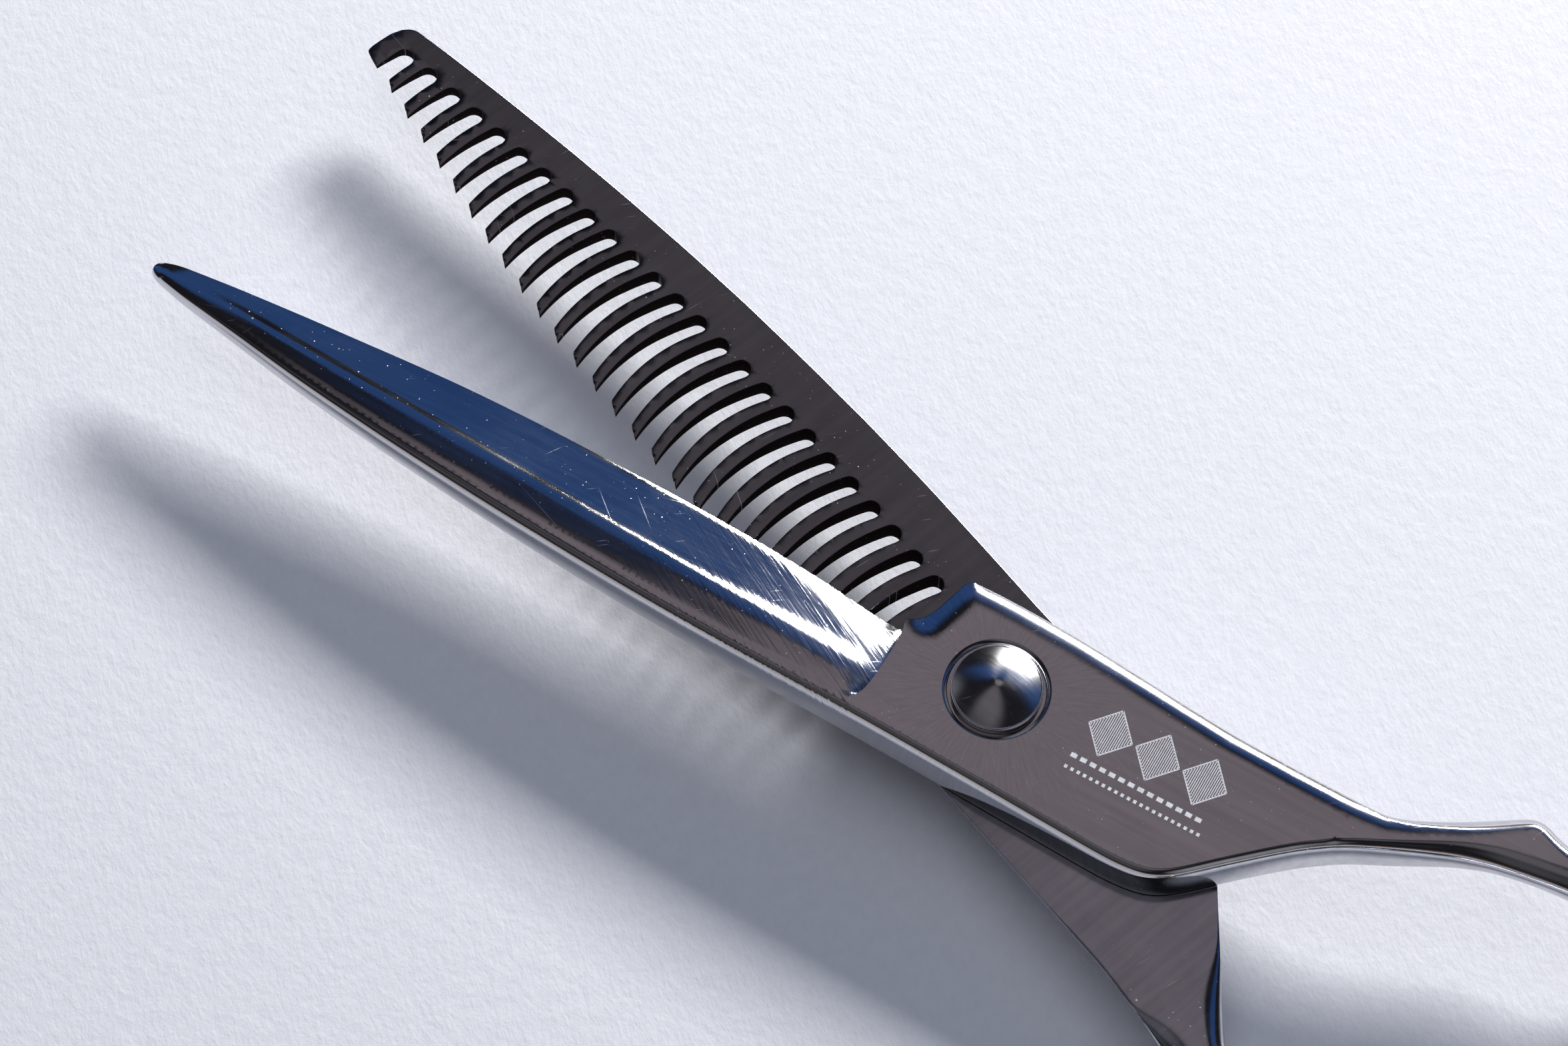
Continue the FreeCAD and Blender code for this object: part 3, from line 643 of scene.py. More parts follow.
def front_depth_top(lp):
    """How far in from the outline the side reaches the face."""
    x, y = lp[:, 0], lp[:, 1]
    ring = np.hypot(x - FINGER_C[0], y - FINGER_C[1])
    on_ring = smoothstep(-50, -56, x)
    spine_side = sidew(np.clip(x, 6, 70.6))
    d = np.where(x > 6, spine_side, 0.95)
    is_edge = (x > 8.2) & (y < np.where(x > 69.5, -0.1, 0.2)) & (x < 70.5)
    d = np.where(is_edge, 0.035, d)
    top_side = (y < -4.5) & (x > -28) & (x < 8)
    d = np.where(top_side, 0.26, d)
    notch = (x > 5.9) & (x < 8.9) & (y < -1.0) & (y > -6.6)
    d = np.where(notch, 0.26, d)
    d = np.where(x < -28, 0.95 + 0.75 * smoothstep(-28, -39, x), d)
    d = np.where((x < -35.5) & (x > -42.0) & (y < -9.0), np.minimum(d, 1.10), d)
    d = d * (1 - on_ring) + 2.15 * on_ring
    # let the width change slowly along the outline
    k = np.ones(9) / 9
    q = d.copy()
    for _ in range(3):
        q = np.convolve(np.concatenate([q[-4:], q, q[:4]]), k, "valid")
    q = np.where(x > 69.6, np.minimum(q, 0.16), q)
    return np.where(is_edge & (x > 9.0) & (x < 69.0), 0.035, q)


def front_depth_bot(lp):
    x = lp[:, 0]
    on_ring = smoothstep(-50, -56, x)
    d = 0.05 + 1.60 * smoothstep(-30, -39, x)
    # less in the tight corner between shank and ring
    d = d - np.where(lp[:, 1] > -12.0, 0.55, 0.0) * np.exp(-((x + 42.0) / 2.4) ** 2)
    return d * (1 - on_ring) + 2.15 * on_ring


def front_bot(p):
    return np.where(p[:, 0] > -26, 0.05, np.maximum(f_bot(p[:, 0]), 0.05))


def hole_depth(r):
    return lambda lp: np.full(len(lp), 2.0)


def ring_hole(centre, r):
    """Clockwise, so that its left side is the metal."""
    return np.array(arc(centre[0], centre[1], r, 360, 0, 190)[:-1])


def depth_with_hole(f, centre, r):
    def g(lp):
        d = np.hypot(lp[:, 0] - centre[0], lp[:, 1] - centre[1])
        if abs(d.mean() - r) < 0.05 and d.std() < 0.05:
            return np.full(len(lp), 2.05)
        return f(lp)
    return g


# feature lines: the face's edge and the foot of the step, the ridge
def offset_line(line, d):
    t = np.gradient(line, axis=0)
    t /= np.maximum(np.hypot(*t.T), 1e-9)[:, None]
    return line + np.stack([-t[:, 1], t[:, 0]], 1) * d


rim_coarse = respace(rim_line, False, 0.10, 0.40)


def band_depth(p):
    loops = [front_loop, finger_hole]
    dd = depth_with_hole(front_depth_top, FINGER_C, FINGER_R)
    d, D = nearest(p, loops, [dd(l) for l in loops])
    return d, D


finger_hole = ring_hole(FINGER_C, FINGER_R)


def front_height(p, blue=None):
    d, D = band_depth(p)
    if blue is None:
        s = front_surf(p)
    else:
        x = p[:, 0]
        full = front_surf(p)
        zb = np.maximum(blue_z(p) - EDGE_H, 0.02)
        d2 = top_edge_distance(p)
        body = 8.20 - Z_RIDE_FRONT - EDGE_H - top_roll(d2, x) * np.where(x > 9, 0, 1)
        land = body * (1 - smoothstep(7.5, 12, x)) + (thick(x) - EDGE_H) * smoothstep(7.5, 12, x)
        s = np.minimum(zb, land) if blue else land
    return front_mid(p) + s * quarter(d / np.maximum(D, 1e-6))


lines_front = []
face_line = offset_line(rim_coarse, 0.0)
foot_line = offset_line(rim_coarse, -0.15)      # just inside the blade
# only the part well inside the outline, and the step only where there is a step
def well_inside(q, room):
    """The run of points that lie beyond the rounded side."""
    d, D = band_depth(q)
    ok = np.flatnonzero(d > D + room)
    return q[ok[0]:ok[-1] + 1]


face_line = well_inside(face_line, 0.07)
foot_line = well_inside(foot_line, 0.07)
lines_front.append((face_line, front_height(face_line, blue=False)))
stepped = foot_line[:, 0] < 11.5
foot = foot_line[stepped]
lines_front.append((foot, front_height(foot, blue=True)))
xr = np.concatenate([np.arange(9.4, 69.0, 0.4)])
ridge = np.stack([xr, edge_y(xr) + ridge_u(xr) * (rim_y(xr) - edge_y(xr))], 1)
ridge = well_inside(ridge, 0.10)
lines_front.append((ridge, front_height(ridge, blue=True)))

# denser rows of points on the convex surface, along the blade
rows = []
for k, u in enumerate([0.02, 0.045, 0.08, 0.13, 0.20, 0.28, 0.36, 0.44, 0.52, 0.60, 0.68, 0.72, 0.80, 0.84, 0.90, 0.95]):
    xx = np.arange(8.6 + 0.17 * (k % 2), 69.0, 0.34)
    rows.append(np.stack([xx, edge_y(xx) + u * (rim_y(xx) - edge_y(xx))], 1))
for k, off in enumerate((-0.66, -0.52, -0.40, -0.30, -0.21, -0.12, -0.04, 0.04, 0.12, 0.21, 0.30, 0.40, 0.52, 0.66)):
    xx = np.arange(8.6 + 0.21 * (k % 2), 67.0, 0.42)
    rows.append(np.stack([xx, edge_y(xx) + CREST_U * (rim_y(xx) - edge_y(xx)) + off], 1))
# more rows near the heel
hx = np.arange(8.3, 14.0, 0.16)
for k, u in enumerate(np.linspace(0.04, 0.98, 34)):
    rows.append(np.stack([hx + 0.08 * (k % 2), edge_y(hx) + u * (rim_y(hx) - edge_y(hx))], 1))
for off in (0.26, 0.36, 0.47, 0.60, 0.75, 0.95):
    rows.append(offset_line(respace(rim_line[rim_line[:, 0] < 12.0], False, 0.14, 0.2), -off))
blade_rows = np.vstack(rows)
for l, _ in lines_front[:2]:
    for i in range(0, len(blade_rows), 500):
        pass
dd = np.sqrt(((blade_rows[:, None, :] - np.vstack([face_line, foot])[None, ::1]) ** 2).sum(2)).min(1)
blade_rows = blade_rows[dd > 0.10]
cell, keep = {}, []
for i, (x, y) in enumerate(blade_rows):
    key = (int(x / 0.12), int((y + 20) / 0.12))
    if any((blade_rows[j][0] - x) ** 2 + (blade_rows[j][1] - y) ** 2 < 0.0058
           for a in (-1, 0, 1) for b in (-1, 0, 1) for j in cell.get((key[0] + a, key[1] + b), ())):
        continue
    keep.append(i)
    cell.setdefault(key, []).append(i)
blade_rows = blade_rows[keep]

# rows of points along the upper outline, where the face rolls off
lp_n = normals_in(front_loop)
lp_top = ((front_loop[:, 1] < -1.6) & (front_loop[:, 0] < 7.4) & (front_loop[:, 0] > -38) &
          (front_loop[:, 1] < np.interp(front_loop[:, 0], [-38, -30, -20, 8], [-7.5, -5.0, -3.0, -1.6])))
roll_rows = []
for off in (0.34, 0.42, 0.50, 0.58, 0.67, 0.77, 0.88, 1.0, 1.15, 1.35, 1.6, 1.9, 2.3, 2.8, 3.4):
    q = front_loop[lp_top] + lp_n[lp_top] * off
    d = top_edge_distance(q)
    dd_, _ = nearest(q, [front_loop], [np.ones(len(front_loop))])
    q = q[(dd_ > off * 0.98) & (np.hypot(q[:, 0], q[:, 1]) > 4.1)]
    last, kept = None, []
    for w in q:
        if last is None or math.hypot(*(w - last)) > 0.24:
            kept.append(w)
            last = w
    if kept:
        roll_rows.append(np.array(kept))
roll_rows = np.vstack(roll_rows)
cellr, keepr = {}, []
for i, (x, y) in enumerate(roll_rows):
    key = (int(x / 0.08), int((y + 20) / 0.08))
    if any((roll_rows[j][0] - x) ** 2 + (roll_rows[j][1] - y) ** 2 < 0.0042
           for a in (-1, 0, 1) for b in (-1, 0, 1) for j in cellr.get((key[0] + a, key[1] + b), ())):
        continue
    keepr.append(i)
    cellr.setdefault(key, []).append(i)
blade_rows = np.vstack([blade_rows, roll_rows[keepr]])

SEAT_R, SEAT_FLOOR, KEY_R = 3.90, 7.90, 2.43
front_bore = (SEAT_R, KEY_R, [(3.86, 8.193), (3.82, 8.18), (3.62, 8.085), (3.58, 8.055), (3.56, 8.01), (3.56, SEAT_FLOOR + 0.03),
                              (3.53, SEAT_FLOOR), (KEY_R + 0.05, SEAT_FLOOR), (KEY_R, SEAT_FLOOR - 0.05)])
front = shell(
    "plain_blade_half_steel", front_loop, [finger_hole],
    depth_with_hole(front_depth_top, FINGER_C, FINGER_R), depth_with_hole(front_depth_bot, FINGER_C, FINGER_R),
    front_surf, front_bot, front_mid, bores=[front_bore], lines_top=lines_front, turn=HALF_OPEN,
    grid=0.55, sharp=30.0, extra_top=blade_rows)

# ---------------------------------------------------------- the rear half
NOSE = [(70.35, 0.31), (70.45, -0.14), (70.42, -1.02), (70.35, -1.93), (70.05, -2.84), (69.71, -3.28), (69.30, -3.56)]
TIPS = [
    (69.31, 0.68), (66.87, 1.18), (64.38, 1.65), (61.95, 2.05), (59.46, 2.48), (57.00, 2.91),
    (54.47, 3.34), (52.02, 3.74), (49.52, 4.13), (47.00, 4.48), (44.58, 4.78), (42.08, 5.13),
    (39.67, 5.33), (37.20, 5.53), (34.73, 5.72), (32.26, 5.88), (29.78, 6.04), (27.26, 6.17),
    (24.80, 6.24), (22.35, 6.28), (19.90, 6.28), (17.45, 6.25), (15.00, 6.20), (12.55, 6.15),
    (10.10, 6.10), (7.70, 6.10)]
SLOT_ENDS = [
    (68.10, -2.10), (65.75, -2.42), (63.30, -2.66), (60.92, -2.88), (58.48, -3.08),
    (56.10, -3.29), (53.70, -3.46), (51.28, -3.63), (48.90, -3.77), (46.52, -3.92),
    (44.10, -4.05), (41.68, -4.15), (39.27, -4.23), (36.85, -4.30), (34.40, -4.33),
    (31.98, -4.36), (29.54, -4.36), (27.10, -4.35), (24.66, -4.32), (22.22, -4.26),
    (19.76, -4.18), (17.30, -4.09), (14.85, -3.97), (12.35, -3.83), (9.85, -3.65)]
COMB_SPINE = [(3.0, -7.40), (9.0, -7.60), (15.8, -7.79), (22.4, -7.81), (28.9, -7.67), (35.4, -7.42), (41.7, -7.02),
              (47.9, -6.47), (54.1, -5.80), (60.1, -5.02), (66.1, -4.14)]
COMB_T = [(3.0, 2.30), (9.0, 2.25), (15.8, 2.15), (22.4, 2.05), (28.9, 1.96), (35.4, 1.87), (41.7, 1.76),
          (47.9, 1.65), (54.1, 1.52), (60.1, 1.38), (66.1, 1.22), (68.9, 1.12), (71.0, 1.0)]
SLOT_W, SLOT_R = 1.45, 12.5
TOOTH_W, TOOTH_RAKE = 1.0, 0.52
comb_spine_y = soft_table(COMB_SPINE + [(68.9, -3.66)], 1, 1.0)
comb_t = soft_table(COMB_T, 1, 1.5)
comb_top_y = soft_table([(x, y) for x, y in TIPS] + [(3.0, 6.9)], 1, 1.0)


def slot_walls(i):
    """The two arcs of one slot, from its mouth on the nose side round its end to its mouth on the heel side."""
    xe, ye = SLOT_ENDS[i]
    xt, yt = TIPS[i + 1]
    r = SLOT_W / 2
    y0 = (yt + ye) / 2 + 0.25
    R = SLOT_R + r
    yc = ye + r
    xc = xe - math.sqrt(R * R - (yc - y0) ** 2)
    a0 = math.asin((yc - y0) / R)

    def wall(rad, ytop, n):
        a1 = math.asin(max(-1, min(1, (ytop - y0) / rad)))
        return [(xc + rad * math.cos(a0 + (a1 - a0) * k / n), y0 + rad * math.sin(a0 + (a1 - a0) * k / n))
                for k in range(n + 1)]
    ecx, ecy = xc + R * math.cos(a0), y0 + R * math.sin(a0)
    th = a0
    end = []
    for k in range(1, 12):
        b = math.pi * k / 12
        # from the outer wall (+radial) round the back to the inner wall
        dx, dy = math.cos(b), -math.sin(b)
        end.append((ecx + r * (dx * math.cos(th) - dy * math.sin(th)), ecy + r * (dx * math.sin(th) + dy * math.cos(th))))
    return wall, end, R, r


# going from the nose back: each tooth's slanted end, then down one wall of the slot and up the other
pieces = []
for i in range(25):
    wall, end, R, r = slot_walls(i)
    tip_a = TIPS[i]
    tip_b = TIPS[i + 1]
    # nose-side wall of the slot rises to the lower corner of tooth i, the other wall to the front corner of tooth i + 1
    outer_wall = wall(R + r, tip_a[1] - 0.02, 26)
    inner_wall = wall(R - r, tip_b[1] - TOOTH_RAKE, 26)
    pieces.append((outer_wall[::-1], end, inner_wall))
comb_ctrl = []
for i, (ow, end, iw) in enumerate(pieces):
    ow = [(x, y) for x, y in ow]
    comb_ctrl += ow + end + iw
    # corner at the heel of the tooth's slanted end
    if i < 24:
        nx = pieces[i + 1][0][0]
        e0, e1 = np.array(iw[-1]), np.array(nx)
        # a small nick in the middle of the end holds the hair
        comb_ctrl += [tuple(e0 * 0.62 + e1 * 0.38), tuple(e0 * 0.50 + e1 * 0.50 + np.array([0.02, -0.20])), tuple(e0 * 0.38 + e1 * 0.62)]

REAR_BACK = (
    with_sigma([(5.9, 6.5, 0.3), (3.5, 6.85, 0.5)], 0.3)
    + with_sigma([(1.0, 7.02), (-2.0, 7.1), (-7.0, 7.2), (-13.0, 7.32), (-19.4, 7.5), (-23.4, 7.88), (-26.8, 8.3),
                  (-30.0, 9.05), (-33.5, 9.95), (-36.5, 10.4)], 1.0)
    + with_sigma([(-38.5, 10.55), (-40.0, 10.75), (-41.2, 11.2), (-42.0, 12.0), (-42.38, 13.1), (-42.46, 14.4)], 0.5)
    + with_sigma(arc(*THUMB_C, THUMB_R + RING_WALL, -3, 302, 200), 0.5)
    + with_sigma([(-48.3, 3.78), (-46.8, 4.80), (-45.2, 5.75), (-43.4, 6.48), (-41.2, 6.85), (-38.6, 6.85), (-35.5, 6.42),
                  (-32.5, 5.85), (-29.6, 4.85), (-27.3, 3.05), (-25.15, 1.22), (-23.2, -0.35), (-20.5, -2.65),
                  (-18.4, -4.6), (-16.4, -6.1), (-13.5, -7.0)], 0.7)
    + with_sigma([(-9.7, -7.3), (-4.5, -7.36), (0.9, -7.40)], 1.0)
    + [(x, y, 1.0) for x, y in COMB_SPINE[:-1]] + [(64.0, -4.47, 0.6), (67.0, -4.0, 0.3), (68.9, -3.66, 0.15)]
    + with_sigma(list(reversed(NOSE)), 0.12))
rear_ctrl = with_sigma(comb_ctrl, 0.03) + [(7.70, 6.12, 0.08)] + REAR_BACK
rear_fine = smooth_loop(rear_ctrl, 0.04)
rear_loop = respace(rear_fine, True, 0.05, 0.30, 0.07)
thumb_hole = ring_hole(THUMB_C, THUMB_R)

ARM_REAR = [(-20, 0.05, 2.65, 5.25), (-24, 0.05, 2.65, 5.25), (-26, 0.66, 2.02, 4.62), (-28, 1.00, 1.66, 4.28),
            (-31, 1.18, 1.48, 4.10),
            (-34, 1.32, 1.36, 3.95), (-37.5, 1.42, 1.42, 3.90), (-40.5, 1.60, 1.60, 3.72), (-43, 1.88, 1.88, 3.42),
            (-45.4, 2.15, 2.15, 3.10), (-47.2, 2.32, 2.32, 2.90), (-50, 2.55, 2.55, 2.74), (-53, 2.68, 2.68, 2.70),
            (-90, 2.69, 2.69, 2.70)]
r_top = soft_table(ARM_REAR, 1, 0.7)
r_bot = soft_table(ARM_REAR, 2, 0.7)
r_mid = soft_table(ARM_REAR, 3, 0.7)


def rear_mid(p):
    return np.where(p[:, 0] > -23, Z_RIDE_REAR - 0.05, r_mid(p[:, 0]))


def rear_top(p):
    return np.where(p[:, 0] > -23, 0.05, np.maximum(r_top(p[:, 0]), 0.05))


def rear_under(p):
    x, y = p[:, 0], p[:, 1]
    body = np.where(x > -23, 2.65, r_bot(x))
    t = comb_t(np.clip(x, 3, 71))
    y0 = comb_spine_y(np.clip(x, 3, 69))
    w = comb_top_y(np.clip(x, 4, 69.3)) - y0
    u = np.clip((y - y0) / w, 0, 1.05)
    share = np.interp(u, [0, 0.18, 0.42, 0.72, 1.0, 1.05], [1.0, 1.0, 0.92, 0.66, 0.34, 0.33])
    comb = t * share - 0.05
    k = smoothstep(6.2, 9.2, x)
    return body * (1 - k) + comb * k


def slow(d, times=3):
    k = np.ones(9) / 9
    for _ in range(times):
        d = np.convolve(np.concatenate([d[-4:], d, d[:4]]), k, "valid")
    return d


def rear_depth_top(lp):
    x, y = lp[:, 0], lp[:, 1]
    on_ring = smoothstep(-41.5, -47, x)
    d = 0.05 + 2.05 * smoothstep(-23.6, -26.4, x) - 0.60 * smoothstep(-26.4, -31, x)
    d = np.where((x > -12) & (y < -3.0), 0.15, d)          # broken edge along the spine
    left = (y > 0) & (x < -13) & (x > -30)
    d = np.where(left, np.maximum(d, 0.05 + 0.65 * smoothstep(-13.5, -23, x)), d)
    q = slow(d * (1 - on_ring) + 2.15 * on_ring, 2)
    return np.where((x > 7.4) & (y > comb_spine_y(np.clip(x, 3, 69)) + 0.8), 0.03, q)


def rear_depth_bot(lp):
    x, y = lp[:, 0], lp[:, 1]
    on_ring = smoothstep(-41.5, -47, x)
    toothed = (x > 7.4) & (y > comb_spine_y(np.clip(x, 3, 69)) + 0.8) & (x < 70.0)
    d = np.where(x > 6.5, 1.30, 1.65)
    d = np.where(x > 62, 1.30 - 0.9 * smoothstep(62, 70.4, x), d)
    # sharper at the nose's front corner
    k = smoothstep(-1.4, -0.4, y) * (x > 69.0)
    d = np.where(toothed, 0.05, d * (1 - k) + 0.10 * k)
    q = slow(d * (1 - on_ring) + 2.15 * on_ring, 2)
    q = q * (1 - k) + np.minimum(q, 0.10) * k
    return np.where(toothed, 0.03, q)


RIDE_R, GLIDE_R = 4.65, 4.65
rear_bore = (RIDE_R, GLIDE_R, [(RIDE_R - 0.04, 5.27), (RIDE_R - 0.04, 4.95), (2.76, 4.95), (2.76, 3.43), (3.35, 3.43),
                               (3.35, 3.15), (GLIDE_R - 0.04, 3.15), (GLIDE_R - 0.04, 2.64)])
rear = shell(
    "comb_blade_half_steel", rear_loop, [thumb_hole],
    depth_with_hole(rear_depth_top, THUMB_C, THUMB_R), depth_with_hole(rear_depth_bot, THUMB_C, THUMB_R),
    rear_top, rear_under, rear_mid, bores=[rear_bore], turn=-HALF_OPEN, grid=0.8, sharp=30.0,
    theta=[0, 8, 19, 32, 47, 62, 76, 90])


# ------------------------------------------------------------ turned pieces
def lathe(name, profile, segments=128, turn=0.0, sharp=30.0):
    """A turned solid. profile runs from the axis at the top to the axis at the bottom: (r, z) or (r, z, flat)."""
    m = Mesh3()
    prev = None
    for q in profile:
        r, z = q[0], q[1]
        flat = q[2] if len(q) > 2 else 1e9
        if r == 0:
            ix = m.add(np.array([[0, 0, z]]))
            if prev is not None:
                for i in range(segments):
                    m.f.append((int(prev[i]), int(prev[(i + 1) % segments]), int(ix[0])))
            prev = ix
            continue
        c = np.array(arc(0, 0, r, 0, 360, segments)[:-1])
        c[:, 1] = np.clip(c[:, 1], -flat, flat)
        ix = m.add(np.column_stack([c, np.full(segments, z)]))
        if prev is not None and len(prev) == 1:
            for i in range(segments):
                m.f.append((int(prev[0]), int(ix[i]), int(ix[(i + 1) % segments])))
        elif prev is not None:
            m.strip(prev, ix)
        prev = ix
    return m.build(name, turn, sharp)


# head of the pivot screw: a soft cone with a rounded point and a bright rim
HEAD_R, DOME_R = 3.30, 3.13
dome = [(0, 9.55)]
for k in range(1, 25):
    r = DOME_R * k / 24
    # a small rounded point, then flanks that steepen slowly to the rim
    q = r / DOME_R
    z = 9.55 - 0.98 * (0.58 * (math.sqrt(q ** 2 + 0.012) - math.sqrt(0.012)) / (math.sqrt(1.012) - math.sqrt(0.012)) + 0.42 * q ** 2)
    dome.append((r, z))
dome += [(3.15, 8.575), (3.19, 8.585), (3.23, 8.575), (3.27, 8.54), (3.295, 8.49), (HEAD_R, 8.43), (HEAD_R, 8.00), (3.27, 7.95), (3.2, 7.92)]
dome += [(2.45, 7.92), (2.40, 7.90, 1.90), (2.40, 5.45, 1.90), (2.02, 5.42), (2.0, 5.38), (2.0, 2.52), (1.97, 2.50),
         (1.52, 2.50), (1.50, 2.48, 1.10), (1.50, 0.90, 1.10), (1.42, 0.82, 1.10), (0.82, 0.82), (0.82, 2.30), (0, 2.30)]
screw = lathe("pivot_screw_steel", dome, 144, HALF_OPEN)


# ----------------------------------------------------------- tension dial
def dial_piece():
    m = Mesh3()
    n = 12 * 24
    a = np.arange(n) * 2 * math.pi / n

    def outline(r, cut):
        """Round with twelve hollow flutes of the given depth."""
        ph = (a * 12 / (2 * math.pi) + 0.0) % 1.0
        d = np.abs(ph - 0.5) * 2           # 0 at a flute's middle
        hollow = np.sqrt(np.clip(1 - (d / 0.58) ** 2, 0, 1))
        rr = r - cut * hollow
        return np.column_stack([rr * np.cos(a), rr * np.sin(a)])
    levels = [(1.53, 2.10, 0), (1.60, 2.10, 0), (4.9, 2.10, 0.36), (5.05, 2.09, 0.40), (5.20, 2.03, 0.44), (5.32, 1.92, 0.46),
              (5.385, 1.78, 0.47), (5.40, 1.62, 0.47), (5.40, 0.48, 0.47), (5.385, 0.32, 0.47), (5.32, 0.18, 0.46),
              (5.20, 0.07, 0.44), (5.05, 0.01, 0.40), (4.9, 0.0, 0.36), (4.2, 0.0, 0), (4.1, 0.03, 0), (3.5, 0.03, 0),
              (3.4, 0.0, 0), (2.45, 0.0, 0), (2.34, 0.06, 0), (2.30, 0.14, 0), (2.30, 0.86, 0), (1.53, 0.86, 0)]
    prev = None
    first = None
    for r, z, cut in levels:
        ix = m.add(np.column_stack([outline(r, cut), np.full(n, z)]))
        if prev is not None:
            m.strip(prev, ix)
        else:
            first = ix
        prev = ix
    m.strip(prev, first)
    return m.build("tension_dial_steel", HALF_OPEN, 32.0)


dial = dial_piece()

retainer = [(0, 2.25), (0.76, 2.25), (0.80, 2.20), (0.80, 0.80), (2.10, 0.80), (2.18, 0.76), (2.20, 0.70), (2.20, 0.16),
            (2.16, 0.06), (2.06, 0.01), (1.9, 0.0)]


def retainer_piece():
    """Cap screw under the dial, with two spanner holes."""
    m = Mesh3()
    n = 96
    prev = None
    for r, z in retainer[1:]:
        c = np.array(arc(0, 0, r, 0, 360, n)[:-1])
        ix = m.add(np.column_stack([c, np.full(n, z)]))
        if prev is None:
            t = m.add(np.array([[0, 0, z]]))
            for i in range(n):
                m.f.append((int(t[0]), int(ix[i]), int(ix[(i + 1) % n])))
        else:
            m.strip(prev, ix)
        prev = ix
        last = c
    holes = []
    for sx in (-1, 1):
        c = np.array(arc(1.25 * sx, 0, 0.32, 0, 360, 28)[:-1])
        ix = m.add(np.column_stack([c, np.zeros(28)]))
        holes.append((c, ix))
        c2 = np.array(arc(1.25 * sx, 0, 0.30, 0, 360, 28)[:-1])
        i2 = m.add(np.column_stack([c2, np.full(28, 0.04)]))
        i3 = m.add(np.column_stack([c2, np.full(28, 0.45)]))
        i4 = m.add(np.array([[1.25 * sx, 0, 0.52]]))
        m.strip(ix, i2)
        m.strip(i2, i3)
        for i in range(28):
            m.f.append((int(i3[i]), int(i3[(i + 1) % 28]), int(i4[0])))
    cap(m, [(last, prev)], holes, lambda q: np.zeros(len(q)), grid=0.4, flip=True)
    return m.build("dial_retaining_screw_steel", HALF_OPEN, 30.0)


cap_screw = retainer_piece()


# ------------------------------------------------------------- finger rest
def tube_along(name, path, radii, turn, segments=40, sharp=35.0):
    """A round bar along a path in the XY plane, with its own radius at each point; ends on the axis."""
    m = Mesh3()
    P = np.array(path, float)
    T = np.gradient(P, axis=0)
    T /= np.linalg.norm(T, axis=1)[:, None]
    prev = None
    up = np.array([0, 0, 1.0])
    for p, t, r in zip(P, T, radii):
        side = np.cross(up, t)
        if r <= 1e-6:
            ix = m.add(p[None])
        else:
            ang = np.arange(segments) * 2 * math.pi / segments
            ix = m.add(p + r * (np.cos(ang)[:, None] * side + np.sin(ang)[:, None] * up))
        if prev is not None:
            if len(prev) == 1:
                for i in range(segments):
                    m.f.append((int(prev[0]), int(ix[i]), int(ix[(i + 1) % segments])))
            elif len(ix) == 1:
                for i in range(segments):
                    m.f.append((int(prev[i]), int(prev[(i + 1) % segments]), int(ix[0])))
            else:
                m.strip(prev, ix)
        prev = ix
    return m.build(name, turn, sharp)


REST_DIR, REST_BEND, REST_SWEEP, BALL_R = 205.0, 14.7, 50.0, 1.8
u = np.array([math.cos(math.radians(REST_DIR)), math.sin(math.radians(REST_DIR)), 0.0])
side_u = np.array([-u[1], u[0], 0.0])
ring_c = np.array([FINGER_C[0], FINGER_C[1], 2.70])
seat = FINGER_R + RING_WALL + 0.40
base = ring_c + u * (seat + 0.52)
path, radii = [], []


def go(s, r):
    path.append(base + u * s)
    radii.append(r)


go(-3.2, 0.0)
go(-3.199, 1.15)
for s, r in ((-3.1, 1.23), (-0.02, 1.23), (0.0, 1.25), (0.01, 2.05), (0.05, 2.16), (0.12, 2.20), (0.80, 2.20), (0.92, 2.18), (1.04, 2.11),
             (1.13, 2.00), (1.18, 1.86), (1.22, 1.72), (1.30, 1.56), (1.42, 1.45)):
    go(s, r)
start = base + u * 1.42
centre = start + side_u * REST_BEND
n_bend = 44
for k in range(1, n_bend + 1):
    a = math.radians(REST_SWEEP) * k / n_bend
    rel = start - centre
    q = centre + np.array([rel[0] * math.cos(a) - rel[1] * math.sin(a), rel[0] * math.sin(a) + rel[1] * math.cos(a), 0])
    f = k / n_bend
    r = 1.45 - 0.20 * math.sin(math.pi * min(f / 0.9, 1.0)) ** 1.2
    path.append(q)
    radii.append(r)
end_p, a = path[-1], math.radians(REST_SWEEP)
dirn = np.array([u[0] * math.cos(a) - u[1] * math.sin(a), u[0] * math.sin(a) + u[1] * math.cos(a), 0])
for k in range(1, 17):
    c0 = math.asin(1.45 / BALL_R)
    ang = c0 + (math.pi - c0) * k / 16.0
    path.append(end_p + dirn * BALL_R * (math.cos(c0) - math.cos(ang)) * 0.92)
    radii.append(max(0.0, BALL_R * math.sin(ang)) if k < 16 else 0.0)
rest = tube_along("finger_rest_steel", path, radii, HALF_OPEN)


